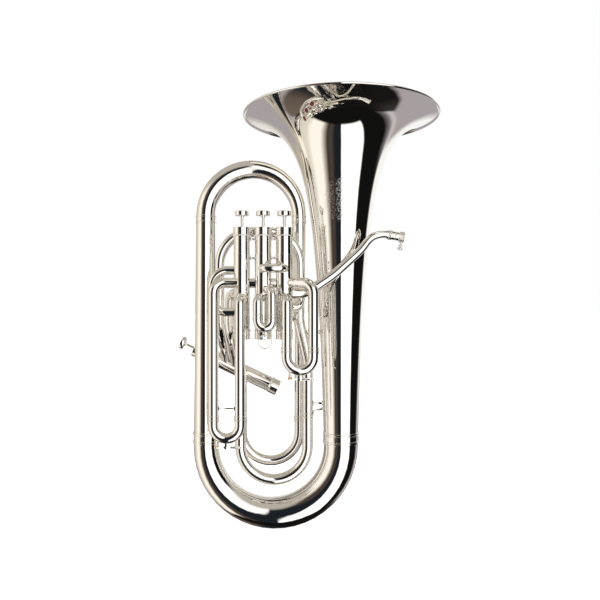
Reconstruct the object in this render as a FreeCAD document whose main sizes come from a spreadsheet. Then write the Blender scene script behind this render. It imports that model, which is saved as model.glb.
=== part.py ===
import FreeCAD, Part
import math
import os
import Sketcher

# A compensating euphonium (tenor tuba): three upright valves, a fourth at the side, bell up.
# The frame stands on the lowest point of the bottom bow, midway between the bell and the main
# branch: +Z runs up to the bell's rim, +X towards the bell, and the valves stand on the -Y side.
# All sizes are in millimetres.

Vector = FreeCAD.Vector
Rotation = FreeCAD.Rotation
UP = Vector(0, 0, 1)

DRIVING_SIZES = {
    # main bore: bottom bow, main branch, top bow, neck
    "bow_spacing": 210.4,
    "bow_left_radius": 19.4,
    "bow_bottom_radius": 24.3,
    "bow_right_radius": 27.0,
    "bow_joint_height": 142.0,
    "bow_wall": 0.9,
    "branch_top_radius": 15.4,
    "top_bow_centre_height": 487.6,
    "top_bow_spacing": 144.8,
    "top_bow_apex_radius": 14.0,
    "top_bow_end_radius": 10.8,
    "tube_wall": 0.6,
    "neck_bend_height": 324.0,
    "neck_foot_height": 252.0,
    "ferrule_width": 18.0,
    "ferrule_wall": 1.2,
    # bell: radius = rim radius * (reach / (distance below the rim + reach)) ^ power
    "bell_rim_height": 642.0,
    "bell_rim_radius": 149.2,
    "bell_flare_reach": 20.84,
    "bell_flare_power": 0.53,
    "bell_wall": 0.8,
    "rim_wire_radius": 1.6,
    # upright valves
    "valve_spacing": 31.2,
    "valve_2_x": -13.2,
    "valve_y": -52.0,
    "valve_foot_height": 298.0,
    "valve_length": 165.0,
    "casing_radius": 12.3,
    "casing_bore_radius": 11.2,
    "cap_radius": 13.1,
    "top_cap_length": 13.0,
    "bottom_cap_length": 14.0,
    "cap_floor": 2.4,
    "piston_fit": 0.05,
    "piston_bottom_gap": 29.0,
    "piston_top_gap": 7.0,
    "piston_wall": 1.0,
    "passage_radius": 5.6,
    "stem_radius": 2.25,
    "stem_fit": 0.08,
    "button_gap": 15.6,
    "button_radius": 10.5,
    "button_height": 8.6,
    "inlay_radius": 7.6,
    "inlay_height": 1.6,
    "spring_wire_radius": 0.6,
    "spring_coils": 6.0,
    # side valve
    "valve_4_cap_x": -129.4,
    "valve_4_y": 34.0,
    "valve_4_cap_height": 278.0,
    "valve_4_length": 150.0,
    "valve_4_tilt": 25.5,
    # slides: sleeves are fixed, crooks pull out downwards
    "slide_y": -76.0,
    "slide_radius": 7.7,
    "slide_fit": 0.05,
    "crook_wall": 0.9,
    "crook_gap": 0.4,
    "elbow_radius": 11.0,
    "upper_elbow_radius": 16.0,
    "upper_port_height": 381.0,
    "lower_port_height": 359.0,
    "slide_1_left_x": 22.1,
    "slide_1_spacing": 38.4,
    "slide_1_joint_height": 284.0,
    "slide_1_leg": 48.0,
    "slide_1_bottom": 247.0,
    "slide_2_left_x": -19.7,
    "slide_2_spacing": 21.0,
    "slide_2_joint_height": 332.0,
    "slide_2_leg": 12.0,
    "slide_2_bottom": 309.0,
    "slide_2_radius": 7.0,
    "slide_3_left_x": -83.4,
    "slide_3_spacing": 38.2,
    "slide_3_joint_height": 185.7,
    "slide_3_leg": 90.0,
    "slide_3_bottom": 149.0,
    "slide_3_brace_height": 200.0,
    "main_slide_left_x": -51.7,
    "main_slide_spacing": 104.8,
    "main_slide_radius": 8.5,
    "main_slide_joint_height": 176.0,
    "main_slide_leg": 50.0,
    "main_slide_bottom": 67.1,
    "slide_4_left_x": -52.5,
    "slide_4_spacing": 92.8,
    "slide_4_radius": 8.2,
    "slide_4_joint_height": 165.0,
    "slide_4_leg": 45.0,
    "slide_4_bottom": 88.3,
    "slide_4_top_height": 330.0,
    # linking tubes
    "link_radius": 7.5,
    "loop_radius": 6.5,
    "arch_top_height": 459.7,
    "arch_left_x": -80.8,
    "arch_spacing": 122.1,
    "arch_y": -24.0,
    "arch_bend_radius": 49.0,
    # leadpipe and receiver
    "leadpipe_y": -50.0,
    "leadpipe_valve_radius": 8.0,
    "leadpipe_end_radius": 5.2,
    "receiver_x": 170.0,
    "receiver_height": 453.0,
    "receiver_tilt": 10.0,
    "receiver_length": 26.0,
    "receiver_radius": 8.5,
    "receiver_bore_radius": 6.2,
    "receiver_bore_length": 21.0,
    "screw_radius": 1.5,
    # levels of the linking tubes and stays
    "middle_port_height": 366.0,
    "loop_top_height": 400.0,
    "loop_bottom_height": 338.0,
    "loop_reach": 44.0,
    "front_loop_height": 402.0,
    "front_loop_reach": 23.0,
    "arch_foot_height": 345.0,
    "arch_knee_height": 322.0,
    "transfer_knee_height": 314.0,
    "transfer_reach": 20.0,
    "upper_brace_height": 446.0,
    "lower_brace_height": 418.0,
    "upper_stay_height": 306.0,
    "lower_stay_height": 195.0,
    "slant_stay_height": 181.5,
    "slant_stay_rise": 5.0,
    "leadpipe_stay_height": 426.5,
    # small fittings
    "ring_radius": 9.6,
    "ring_wire_radius": 0.9,
    "stay_radius": 2.2,
    "key_pin_radius": 1.0,
    "key_hub_radius": 2.4,
    "key_width": 5.0,
    "key_drop": 7.0,
    "key_reach": 17.0,
    "cork_radius": 3.4,
    "spout_radius": 2.4,
}

doc = FreeCAD.newDocument("euphonium")
sheet = doc.addObject("Spreadsheet::Sheet", "Sizes")
for row, (alias, number) in enumerate(DRIVING_SIZES.items(), start=1):
    sheet.set("A%d" % row, alias)
    sheet.set("B%d" % row, str(number))
    sheet.setAlias("B%d" % row, alias)
doc.recompute()


class Size:
    """A length known as a number and as the sheet expression that gives it."""

    def __init__(self, value, text):
        self.value = float(value)
        self.text = text

    def joined(self, other, sign, value, swapped=False):
        first, second = (other, self) if swapped else (self, other)
        return Size(value, "(%s %s %s)" % (text_of(first), sign, text_of(second)))

    def __float__(self):
        return self.value

    def __add__(self, other):
        return self.joined(other, "+", self.value + float(other))

    def __radd__(self, other):
        return self.joined(other, "+", float(other) + self.value, swapped=True)

    def __sub__(self, other):
        return self.joined(other, "-", self.value - float(other))

    def __rsub__(self, other):
        return self.joined(other, "-", float(other) - self.value, swapped=True)

    def __mul__(self, other):
        return self.joined(other, "*", self.value * float(other))

    __rmul__ = __mul__

    def __truediv__(self, other):
        return self.joined(other, "/", self.value / float(other))


def text_of(number):
    return number.text if isinstance(number, Size) else repr(float(number))


def size(alias):
    """The sheet's cell of that name, as a Size."""
    return Size(sheet.get(alias), "Sizes." + alias)


NODES = []


def node(item, label):
    """Registers an object as a sub-part under its own label."""
    item.Label = label
    NODES.append(item)
    return item


def bind(item, **lengths):
    for name, length in lengths.items():
        item.setExpression(name, text_of(length))


def place(item, x, y, z, rotation=None):
    """Puts an object at a point bound to the sheet, turned as given."""
    base = Vector(float(x), float(y), float(z))
    item.Placement = FreeCAD.Placement(base, rotation or Rotation())
    for letter, length in zip("xyz", (x, y, z)):
        item.setExpression(".Placement.Base." + letter, text_of(length))
    return item


def origin_plane(body, role):
    return next(f for f in body.Origin.OriginFeatures if f.Role == role)


def new_sketch(body, name, role):
    sketch = body.newObject("Sketcher::SketchObject", name)
    sketch.AttachmentSupport = [(origin_plane(body, role), "")]
    sketch.MapMode = "FlatFace"
    return sketch


def pin_point(sketch, edge, end, x, y):
    """Fixes an edge's end point to the sketch's origin by two dimensions bound to the sheet."""
    for kind, axis, length in (("DistanceX", -2, x), ("DistanceY", -1, y)):
        if float(length) == 0:
            sketch.addConstraint(Sketcher.Constraint("PointOnObject", edge, end, axis))
            continue
        index = sketch.addConstraint(Sketcher.Constraint(kind, -1, 1, edge, end, float(length)))
        if isinstance(length, Size):
            sketch.setExpression("Constraints[%d]" % index, length.text)


def turned(label, outline):
    """A turned piece: an outline of (radius, height) corners, revolved about Z."""
    body = doc.addObject("PartDesign::Body", label + "_body")
    sketch = new_sketch(body, label + "_outline", "XZ_Plane")
    corners = [Vector(float(r), float(h), 0) for r, h in outline]
    count = len(corners)
    for i in range(count):
        sketch.addGeometry(Part.LineSegment(corners[i], corners[(i + 1) % count]))
    for i in range(count):
        sketch.addConstraint(Sketcher.Constraint("Coincident", i, 2, (i + 1) % count, 1))
        pin_point(sketch, i, 1, *outline[i])
    spin = body.newObject("PartDesign::Revolution", label + "_turning")
    spin.Profile = sketch
    spin.ReferenceAxis = (sketch, ["V_Axis"])
    spin.Angle = 360
    sketch.Visibility = False
    return body


def tube_outline(outer, wall, length):
    """The outline of a plain straight tube."""
    return [(outer - wall, 0), (outer, 0), (outer, length), (outer - wall, length)]


def bent_tube(label, runs, arcs, outer, wall):
    """A tube along a flat path that starts at the body's origin, in its XZ plane.

    Each run is a pair of points, and each arc is (centre, radius, first angle, last angle).
    """
    body = doc.addObject("PartDesign::Body", label + "_body")
    path = new_sketch(body, label + "_path", "XZ_Plane")
    for start, end in runs:
        edge = path.addGeometry(Part.LineSegment(flat(start), flat(end)))
        pin_point(path, edge, 1, *start)
        pin_point(path, edge, 2, *end)
    for centre, radius, first, last in arcs:
        circle = Part.Circle(flat(centre), UP, float(radius))
        arc = Part.ArcOfCircle(circle, math.radians(first), math.radians(last))
        edge = path.addGeometry(arc)
        pin_point(path, edge, 3, *centre)
        bound_radius(path, edge, radius)
    add_ring(body, label, outer, wall, path)
    return body


def flat(point):
    return Vector(float(point[0]), float(point[1]), 0)


def bound_radius(sketch, edge, radius):
    index = sketch.addConstraint(Sketcher.Constraint("Radius", edge, float(radius)))
    sketch.setExpression("Constraints[%d]" % index, text_of(radius))


def add_ring(body, label, outer, wall, path):
    """Sweeps a ring, drawn round the body's origin, along the path."""
    ring = new_sketch(body, label + "_ring", "XY_Plane")
    for edge, radius in enumerate((outer, outer - wall)):
        ring.addGeometry(Part.Circle(Vector(0, 0, 0), UP, float(radius)))
        ring.addConstraint(Sketcher.Constraint("Coincident", edge, 3, -1, 1))
        bound_radius(ring, edge, radius)
    pipe = body.newObject("PartDesign::AdditivePipe", label + "_pipe")
    pipe.Profile = ring
    pipe.Spine = path
    path.Visibility = False
    ring.Visibility = False


def cylinder(name, radius, height):
    rod = doc.addObject("Part::Cylinder", name)
    bind(rod, Radius=radius, Height=height)
    return rod


def cut(name, base, tools):
    """The base with every tool taken out of it."""
    tool = tools[0]
    if len(tools) > 1:
        tool = doc.addObject("Part::MultiFuse", name + "_tools")
        tool.Shapes = tools
    result = doc.addObject("Part::Cut", name)
    result.Base = base
    result.Tool = tool
    return result


def fuse(name, pieces):
    result = doc.addObject("Part::MultiFuse", name)
    result.Shapes = pieces
    return result


def group(name, pieces):
    """Separate solids that share one sub-part."""
    result = doc.addObject("Part::Compound", name)
    result.Links = pieces
    return result


def turn(axis, degrees):
    return Rotation(Vector(*axis), float(degrees))


def aim(direction):
    """The rotation that turns +Z to a direction."""
    return Rotation(UP, direction)


# ---------------------------------------------------------------- main bore

def circle_at(centre, direction, radius):
    return Part.Wire(Part.Circle(centre, direction, radius).toShape())


def bow_shape(centre, bend, upper, radii, stub, wall, steps=12):
    """A conical half-turn with straight stubs at both ends.

    The radii are those at the -X end, in the middle and at the +X end; upper bows arch up.
    """
    side = 1 if upper else -1

    def radius_at(share):
        first, middle, last = radii
        return (first * (1 - share) * (1 - 2 * share) + 4 * middle * share * (1 - share)
                + last * share * (2 * share - 1))

    def lofted(inset):
        rings = []
        if stub:
            foot = centre + Vector(-bend, 0, -side * stub)
            rings.append(circle_at(foot, Vector(0, 0, side), radii[0] - inset))
        for i in range(steps + 1):
            angle = math.pi * i / steps
            outward = Vector(-math.cos(angle), 0, side * math.sin(angle))
            along = Vector(math.sin(angle), 0, side * math.cos(angle))
            spot = centre + outward * bend
            rings.append(circle_at(spot, along, radius_at(i / steps) - inset))
        if stub:
            foot = centre + Vector(bend, 0, -side * stub)
            rings.append(circle_at(foot, Vector(0, 0, -side), radii[2] - inset))
        return Part.makeLoft(rings, True, False)

    return lofted(0).cut(lofted(wall))


def smooth_path(points, bends):
    """A wire of straight runs through the points, rounded at each inner one by an arc."""
    edges = []
    at = points[0]
    for i, bend in enumerate(bends, start=1):
        before = (points[i] - points[i - 1]).normalize()
        after = (points[i + 1] - points[i]).normalize()
        half = before.getAngle(after) / 2
        cut_back = bend * math.tan(half)
        start = points[i] - before * cut_back
        end = points[i] + after * cut_back
        inward = (after - before).normalize()
        centre = points[i] + inward * (bend / math.cos(half))
        middle = centre - inward * bend
        edges.append(Part.LineSegment(at, start).toShape())
        edges.append(Part.Arc(start, middle, end).toShape())
        at = end
    edges.append(Part.LineSegment(at, points[-1]).toShape())
    return Part.Wire(edges)


def swept(points, bends, first_radius, last_radius):
    """A round rod along the rounded path, its radius going evenly from first to last."""
    path = smooth_path(points, bends)
    shell = Part.BRepOffsetAPI.MakePipeShell(path)
    shell.setFrenetMode(True)
    before = points[1] - points[0]
    after = points[-1] - points[-2]
    shell.add(circle_at(points[0], before, first_radius))
    if last_radius != first_radius:
        shell.add(circle_at(points[-1], after, last_radius))
    shell.build()
    shell.makeSolid()
    return Part.Solid(shell.shape()) if shell.shape().ShapeType != "Solid" else shell.shape()


def swept_tube(points, bends, first_radius, last_radius, wall):
    outside = swept(points, bends, first_radius, last_radius)
    return outside.cut(swept(points, bends, first_radius - wall, last_radius - wall))


def shaped(name, shape):
    item = doc.addObject("Part::Feature", name)
    item.Shape = shape
    return item


def num(alias):
    return float(sheet.get(alias))


BELL_X = size("bow_spacing") / 2
BRANCH_X = size("bow_spacing") / -2
BOW_CENTRE = size("bow_spacing") / 2 + size("bow_bottom_radius")
TOP_BOW_X = BRANCH_X + size("top_bow_spacing") / 2
NECK_X = BRANCH_X + size("top_bow_spacing")
MAIN_RIGHT_X = size("main_slide_left_x") + size("main_slide_spacing")


def bell_radius(height):
    """The bell's outer radius at a height."""
    reach = num("bell_flare_reach")
    below = num("bell_rim_height") - height
    return num("bell_rim_radius") * (reach / (below + reach)) ** num("bell_flare_power")


def make_bell(steps=36):
    foot, rim = num("bow_joint_height"), num("bell_rim_height")
    heights = [rim - (rim - foot) * (i / steps) ** 2 for i in range(steps + 1)]
    outside = [Vector(bell_radius(h), 0, h) for h in heights]
    inside = [Vector(p.x - num("bell_wall"), 0, p.z) for p in outside]
    curves = []
    for points in (outside, inside):
        curve = Part.BSplineCurve()
        curve.interpolate(points)
        curves.append(curve.toShape())
    ends = [Part.LineSegment(outside[i], inside[i]).toShape() for i in (0, -1)]
    wall = Part.Face(Part.Wire(Part.__sortEdges__(curves + ends)))
    bell = shaped("bell", wall.revolve(Vector(0, 0, 0), UP, 360))
    node(place(bell, BELL_X, 0, 0), "bell")
    wire = doc.addObject("Part::Torus", "rim_wire")
    wire_bend = size("bell_rim_radius") + size("rim_wire_radius") + 0.1
    bind(wire, Radius1=wire_bend, Radius2=size("rim_wire_radius"))
    node(place(wire, BELL_X, 0, size("bell_rim_height")), "bell_rim_wire")


def make_ferrule(label, x, radius):
    """A soldered sleeve with a raised band at each end, over a joint of the main bore."""
    wide, narrow = size("ferrule_wall"), size("ferrule_wall") / 2
    width, inner = size("ferrule_width"), radius + 0.1
    band = width / 6
    outline = [(inner, 0), (inner + wide, 0), (inner + wide, band), (inner + narrow, band),
               (inner + narrow, width - band), (inner + wide, width - band),
               (inner + wide, width), (inner, width)]
    sleeve = place(turned(label, outline), x, 0, size("bow_joint_height") - width / 2)
    node(sleeve, label)


def make_main_bore():
    wall = num("bow_wall")
    centre_height = float(BOW_CENTRE)
    radii = [num("bow_left_radius"), num("bow_bottom_radius"), num("bow_right_radius")]
    stub = num("bow_joint_height") - centre_height
    bow = bow_shape(Vector(0, 0, 0), float(BELL_X), False, radii, stub, wall)
    node(place(shaped("bottom_bow", bow), 0, 0, BOW_CENTRE), "bottom_bow")
    make_ferrule("bell_ferrule", BELL_X, size("bow_right_radius") + 0.4)
    make_ferrule("branch_ferrule", BRANCH_X, size("bow_left_radius"))

    foot, top = size("bow_joint_height"), size("top_bow_centre_height")
    low, high = size("bow_left_radius"), size("branch_top_radius")
    thick = size("bow_wall")
    branch = turned("main_branch", [(low - thick, 0), (low, 0), (high, top - foot),
                                    (high - thick, top - foot)])
    node(place(branch, BRANCH_X, 0, foot), "main_branch")

    radii = [num("branch_top_radius"), num("top_bow_apex_radius"), num("top_bow_end_radius")]
    top_bow = bow_shape(Vector(0, 0, 0), num("top_bow_spacing") / 2, True, radii, 0, wall)
    node(place(shaped("top_bow", top_bow), TOP_BOW_X, 0, top), "top_bow")
    rings = []
    for name, x, radius in (("left", BRANCH_X, high), ("right", NECK_X, size("top_bow_end_radius"))):
        inner = radius + 0.3
        ring = turned("top_bow_ring_" + name, tube_outline(inner + size("ferrule_wall") / 2,
                                                           size("ferrule_wall") / 2, 12))
        rings.append(place(ring, x, 0, top - 12))
    node(group("top_bow_rings", rings), "top_bow_rings")

    bend = num("neck_bend_height")
    knee = num("neck_foot_height") + 12
    neck = [Vector(float(NECK_X), 0, float(top)), Vector(float(NECK_X), 0, bend),
            Vector(float(MAIN_RIGHT_X), 0, knee),
            Vector(float(MAIN_RIGHT_X), 0, num("neck_foot_height"))]
    base = neck[-1]
    shape = swept_tube([p - base for p in neck], [70.0, 40.0], num("top_bow_end_radius"),
                       num("main_slide_radius"), wall)
    node(place(shaped("neck", shape), MAIN_RIGHT_X, 0, size("neck_foot_height")), "neck_pipe")


# ---------------------------------------------------------------- valves

class Valve:
    """One piston valve, built along its own axis from the bottom cap's face upwards."""

    def __init__(self, number, x, y, z, length, rotation):
        self.number = number
        self.x, self.y, self.z = x, y, z
        self.length = length
        self.rotation = rotation

    def place(self, item, height):
        """Puts a piece at a height on the valve's axis."""
        lift = self.rotation.multVec(UP)
        return place(item, self.x + height * lift.x, self.y + height * lift.y,
                     self.z + height * lift.z, self.rotation)

    def point(self, height):
        return Vector(float(self.x), float(self.y), float(self.z)) \
            + self.rotation.multVec(UP) * float(height)

    def bore(self, name):
        """The space that the piston runs in, taken out of whatever enters the casing."""
        return self.place(cylinder(name, size("casing_bore_radius"), self.length), 0)

    def name(self, piece):
        return "%s_%d" % (piece, self.number)


def make_valves():
    upright = Rotation()
    tilt = num("valve_4_tilt")
    leaning = turn((0, 1, 0), tilt - 90)
    drop = math.sin(math.radians(tilt))
    run = math.cos(math.radians(tilt))
    valves = {}
    for number, shift in ((1, 1), (2, 0), (3, -1)):
        x = size("valve_2_x") + shift * size("valve_spacing")
        valves[number] = Valve(number, x, size("valve_y"), size("valve_foot_height"),
                               size("valve_length"), upright)
    length = size("valve_4_length")
    valves[4] = Valve(4, size("valve_4_cap_x") + run * length, size("valve_4_y"),
                      size("valve_4_cap_height") - drop * length, length, leaning)
    return valves


VALVES = make_valves()


def make_caps(valve):
    """Screwed caps: the top one passes the stem, the bottom one has a small air hole."""
    cap, body, floor = size("cap_radius"), size("casing_radius") + 0.05, size("cap_floor")
    stem_hole = size("stem_radius") + size("stem_fit")
    tall = size("top_cap_length")
    rim = cap + 0.5
    outline = [(stem_hole, tall - floor), (stem_hole, tall), (cap, tall), (cap, 1.6), (rim, 1.6),
               (rim, 0), (body, 0), (body, tall - floor)]
    top = turned(valve.name("top_cap"), outline)
    valve.place(top, valve.length - tall)
    deep = size("bottom_cap_length")
    outline = [(1.5, 0), (cap - 0.8, 0), (cap, 0.8), (cap, deep - 1.6), (rim, deep - 1.6),
               (rim, deep), (body, deep), (body, floor), (1.5, floor)]
    bottom = turned(valve.name("bottom_cap"), outline)
    valve.place(bottom, 0)
    return top, bottom


def make_casing(valve, ports):
    """The casing tube, with a band at mid height and a hole for every tube that enters it."""
    bore, outer = size("casing_bore_radius"), size("casing_radius")
    start = size("cap_floor")
    end = valve.length - start
    band = valve.length * 0.755
    outline = [(bore, start), (outer, start), (outer, band), (outer + 0.45, band),
               (outer + 0.45, band + 1.2), (outer, band + 1.2), (outer, end), (bore, end)]
    tube = turned(valve.name("casing_tube"), outline)
    valve.place(tube, 0)
    holes = []
    for index, (start_point, direction, radius) in enumerate(ports):
        hole = cylinder("%s_port_%d" % (valve.name("casing"), index), radius, 30)
        base = [float(c) for c in start_point]
        hole.Placement = FreeCAD.Placement(Vector(*base), aim(direction))
        holes.append(hole)
    node(cut(valve.name("casing"), tube, holes), valve.name("valve_casing"))


def make_piston(valve):
    """A thin piston with three air passages through it, closed above and below."""
    outer = size("casing_bore_radius") - size("piston_fit")
    bottom = size("piston_bottom_gap")
    tall = valve.length - size("top_cap_length") - size("piston_top_gap") - bottom
    wall, passage = size("piston_wall"), size("passage_radius")
    shell = cylinder(valve.name("piston_shell"), outer, tall)
    room = cylinder(valve.name("piston_room"), outer - wall, tall - 2 * wall)
    valve.place(shell, bottom)
    valve.place(room, bottom + wall)
    tubes, bores = [], []
    for index, (share, around) in enumerate(((0.2, 10), (0.45, 70), (0.7, 130))):
        turned_by = valve.rotation.multiply(turn((0, 0, 1), around)).multiply(turn((0, 1, 0), 90))
        for made, radius, reach in ((tubes, passage + wall / 2, outer), (bores, passage, outer + 2)):
            name = "%s_%d_%d" % (valve.name("passage"), index, len(made) + 10 * (made is bores))
            rod = cylinder(name, radius, 2 * reach)
            valve.place(rod, bottom + tall * share)
            back = turned_by.multVec(UP) * -float(reach)
            base = rod.Placement.Base + back
            for letter in "xyz":
                rod.setExpression(".Placement.Base." + letter, None)
            rod.Placement = FreeCAD.Placement(base, turned_by)
            made.append(rod)
    hollow = cut(valve.name("piston_hollow"), shell, [room])
    trimmed = doc.addObject("Part::MultiCommon", valve.name("passages"))
    walls = fuse(valve.name("passage_walls"), tubes)
    envelope = valve.place(cylinder(valve.name("envelope"), outer - wall / 2, tall), bottom)
    trimmed.Shapes = [walls, envelope]
    whole = fuse(valve.name("piston_whole"), [hollow, trimmed])
    node(cut(valve.name("piston_ported"), whole, bores), valve.name("piston"))


def make_finger_work(valve):
    """The stem, its button with an inlaid disc, and the spring below the piston."""
    stem = size("stem_radius")
    piston_top = valve.length - size("top_cap_length") - size("piston_top_gap")
    button_foot = valve.length + size("button_gap")
    felt = size("casing_bore_radius") - 2
    reach = button_foot - piston_top
    outline = [(0, 0), (felt, 0), (felt, 3), (stem, 3), (stem, reach), (0, reach)]
    node(valve.place(turned(valve.name("valve_stem"), outline), piston_top), valve.name("stem"))

    wide, high = size("button_radius"), size("button_height")
    cup, sunk = size("inlay_radius"), size("inlay_height")
    outline = [(0, 0), (stem + 1.2, 0), (stem + 1.2, 1.4), (wide - 1, 1.8), (wide, 2.8),
               (wide, high - 0.8), (wide - 0.8, high), (cup + 0.05, high),
               (cup + 0.05, high - sunk), (0, high - sunk)]
    button = valve.place(turned(valve.name("button_cup"), outline), button_foot)
    outline = [(0, 0), (cup, 0), (cup, sunk - 0.4), (cup - 1.5, sunk), (0, sunk)]
    inlay = valve.place(turned(valve.name("button_inlay"), outline), button_foot + high - sunk)
    node(group(valve.name("button"), [button, inlay]), valve.name("finger_button"))

    node(valve.place(make_spring(valve), size("cap_floor") + 0.2), valve.name("valve_spring"))


def make_spring(valve):
    """A coil spring of half turns: each half ring tilts the other way and meets the next."""
    wire = size("spring_wire_radius")
    room = size("piston_bottom_gap") - size("cap_floor") - 0.4
    coil = size("casing_bore_radius") - wire - 1.2
    halves = 2 * int(num("spring_coils"))
    rise = (room - 2 * wire) / halves
    tilt = math.degrees(math.atan2(float(rise) / 2, float(coil)))
    bend = coil / math.cos(math.radians(tilt))
    rings = []
    for index in range(halves):
        ring = doc.addObject("Part::Torus", "%s_%d" % (valve.name("coil"), index))
        bind(ring, Radius1=bend, Radius2=wire)
        ring.Angle3 = 180
        way = 1 if index % 2 == 0 else -1
        facing = turn((0, 0, 1), 0 if way == 1 else 180)
        rotation = turn((0, 1, 0), way * tilt).multiply(facing)
        rings.append(place(ring, 0, 0, wire + rise * (index + 0.5), rotation))
    return fuse(valve.name("spring"), rings)


# ---------------------------------------------------------------- slides

def sleeve_leg(name, valve, x, y, foot, port, bend, radius):
    """A slide's fixed tube: up from its open end, round an elbow and into the valve's casing."""
    across = math.hypot(float(x) - float(valve.x), float(y) - float(valve.y))
    towards = math.degrees(math.atan2(float(valve.y) - float(y), float(valve.x) - float(x)))
    rise = port - foot
    reach = Size(across, repr(across))
    runs = [((0, 0), (0, rise - bend)), ((bend, rise), (reach, rise))]
    arcs = [((bend, rise - bend), bend, 90, 180)]
    tube = bent_tube(name, runs, arcs, radius, size("tube_wall"))
    place(tube, x, y, foot, turn((0, 0, 1), towards))
    return cut(name + "_trimmed", tube, [valve.bore(name + "_bore")])


def crook(name, spacing, joint, leg, bottom, radius, wall):
    """A slide's moving part: a bow as wide as the sleeves, and two legs that fit inside them."""
    inner = radius - wall
    half = spacing / 2
    drop = joint - size("crook_gap") - bottom - radius - half
    runs = [((0, 0), (0, -1 * drop)), ((spacing, -1 * drop), (spacing, 0))]
    arcs = [((half, -1 * drop), half, 180, 360)]
    body = bent_tube(name, runs, arcs, radius, wall)
    legs = new_sketch(body, name + "_legs", "XY_Plane")
    outer = radius - size("tube_wall") - size("slide_fit")
    for edge, (x, ring) in enumerate(((0, outer), (0, inner), (spacing, outer), (spacing, inner))):
        legs.addGeometry(Part.Circle(Vector(float(x), 0, 0), UP, float(ring)))
        pin_point(legs, edge, 3, x, 0)
        bound_radius(legs, edge, ring)
    pad = body.newObject("PartDesign::Pad", name + "_pad")
    pad.Profile = legs
    bind(pad, Length=leg)
    legs.Visibility = False
    return body


PORTS = {1: [], 2: [], 3: [], 4: []}


def add_port(valve, outside, height, radius):
    """Notes where a tube from an outside point enters a casing, level with its own height."""
    axis_point = Vector(float(valve.x), float(valve.y), float(height))
    PORTS[valve.number].append((axis_point, Vector(*outside) - axis_point, radius))


def make_valve_slide(number, radius, left_bend, right_height, left_height):
    """A valve's slide: two fixed sleeves from its casing and the crook that pulls out of them."""
    tag = "slide_%d" % number
    valve = VALVES[number]
    y = size("slide_y")
    left = size(tag + "_left_x")
    right = left + size(tag + "_spacing")
    joint = size(tag + "_joint_height")
    legs = []
    for side, x, port, bend in (("left", left, left_height, left_bend[0]),
                                ("right", right, right_height, left_bend[1])):
        legs.append(sleeve_leg("%s_%s" % (tag, side), valve, x, y, joint, port, bend, radius))
        add_port(valve, (float(x), float(y), float(port)), port, radius)
    node(group(tag + "_sleeve_pair", legs), tag + "_sleeves")
    body = crook(tag + "_u", size(tag + "_spacing"), joint, size(tag + "_leg"),
                 size(tag + "_bottom"), radius, size("crook_wall") + 0.6)
    node(place(body, left, y, joint - size("crook_gap")), tag + "_crook")


def make_slides():
    upper, lower = size("upper_port_height"), size("lower_port_height")
    wide, tight = size("upper_elbow_radius"), size("elbow_radius")
    make_valve_slide(1, size("slide_radius"), (tight, wide), upper, lower)
    make_valve_slide(2, size("slide_2_radius"), (tight - 2, tight), upper - 10, lower)
    make_valve_slide(3, size("slide_radius"), (wide, tight), lower, upper)


def make_main_slide():
    """The tuning slide between valve 4 and the neck."""
    valve = VALVES[4]
    left, joint = size("main_slide_left_x"), size("main_slide_joint_height")
    radius = size("main_slide_radius")
    port = axis_height(left)
    first = sleeve_leg("main_slide_left", Level(valve, left), left, 0, joint, port,
                       size("elbow_radius") + 2, radius)
    second = turned("main_slide_right", tube_outline(radius, size("tube_wall"),
                                                     size("neck_foot_height") - joint))
    place(second, MAIN_RIGHT_X, 0, joint)
    node(group("main_sleeve_pair", [first, second]), "main_slide_sleeves")
    PORTS[4].append((Vector(float(left), float(valve.y), float(port)), Vector(0, -1, 0), radius))
    body = crook("main_slide_u", size("main_slide_spacing"), joint, size("main_slide_leg"),
                 size("main_slide_bottom"), radius, size("crook_wall") + 0.6)
    node(place(body, left, 0, joint - size("crook_gap")), "main_slide_crook")


def axis_height(x):
    """The height of the side valve's axis above a place along X."""
    slope = math.tan(math.radians(num("valve_4_tilt")))
    return size("valve_4_cap_height") - slope * (x - size("valve_4_cap_x"))


class Level:
    """A place on the side valve's axis that a level elbow can run to."""

    def __init__(self, valve, x):
        self.x, self.y = x, valve.y
        self.bore = valve.bore


def make_fourth_slide():
    """The fourth loop: from valve 4's underside down, round, and up to valve 1's back."""
    valve = VALVES[4]
    left, joint = size("slide_4_left_x"), size("slide_4_joint_height")
    y, radius = size("valve_4_y"), size("slide_4_radius")
    right = left + size("slide_4_spacing")
    rise = axis_height(left) - joint
    first = turned("slide_4_left", tube_outline(radius, size("tube_wall"), rise))
    place(first, left, y, joint)
    first = cut("slide_4_left_trimmed", first, [valve.bore("slide_4_left_bore")])
    PORTS[4].append((Vector(float(left), float(y), float(axis_height(left))),
                     Vector(0, 0, -1), radius))
    top = num("slide_4_top_height")
    goal = VALVES[1].point(size("slide_4_top_height") - size("valve_foot_height"))
    foot = Vector(float(right), float(y), float(joint))
    points = [foot, Vector(foot.x, foot.y, top), Vector(goal.x - 4, foot.y, top), goal]
    shape = swept_tube([p - foot for p in points], [13.0, 11.0], float(radius), float(radius),
                       num("tube_wall"))
    second = place(shaped("slide_4_right", shape), right, y, joint)
    PORTS[1].append((goal, points[-2] - goal, radius))
    second = cut("slide_4_right_trimmed", second, [VALVES[1].bore("slide_4_right_bore")])
    node(group("slide_4_sleeve_pair", [first, second]), "slide_4_sleeves")
    body = crook("slide_4_u", size("slide_4_spacing"), joint, size("slide_4_leg"),
                 size("slide_4_bottom"), radius, size("crook_wall") + 0.6)
    node(place(body, left, y, joint - size("crook_gap")), "slide_4_crook")


# ---------------------------------------------------------------- linking tubes

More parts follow.
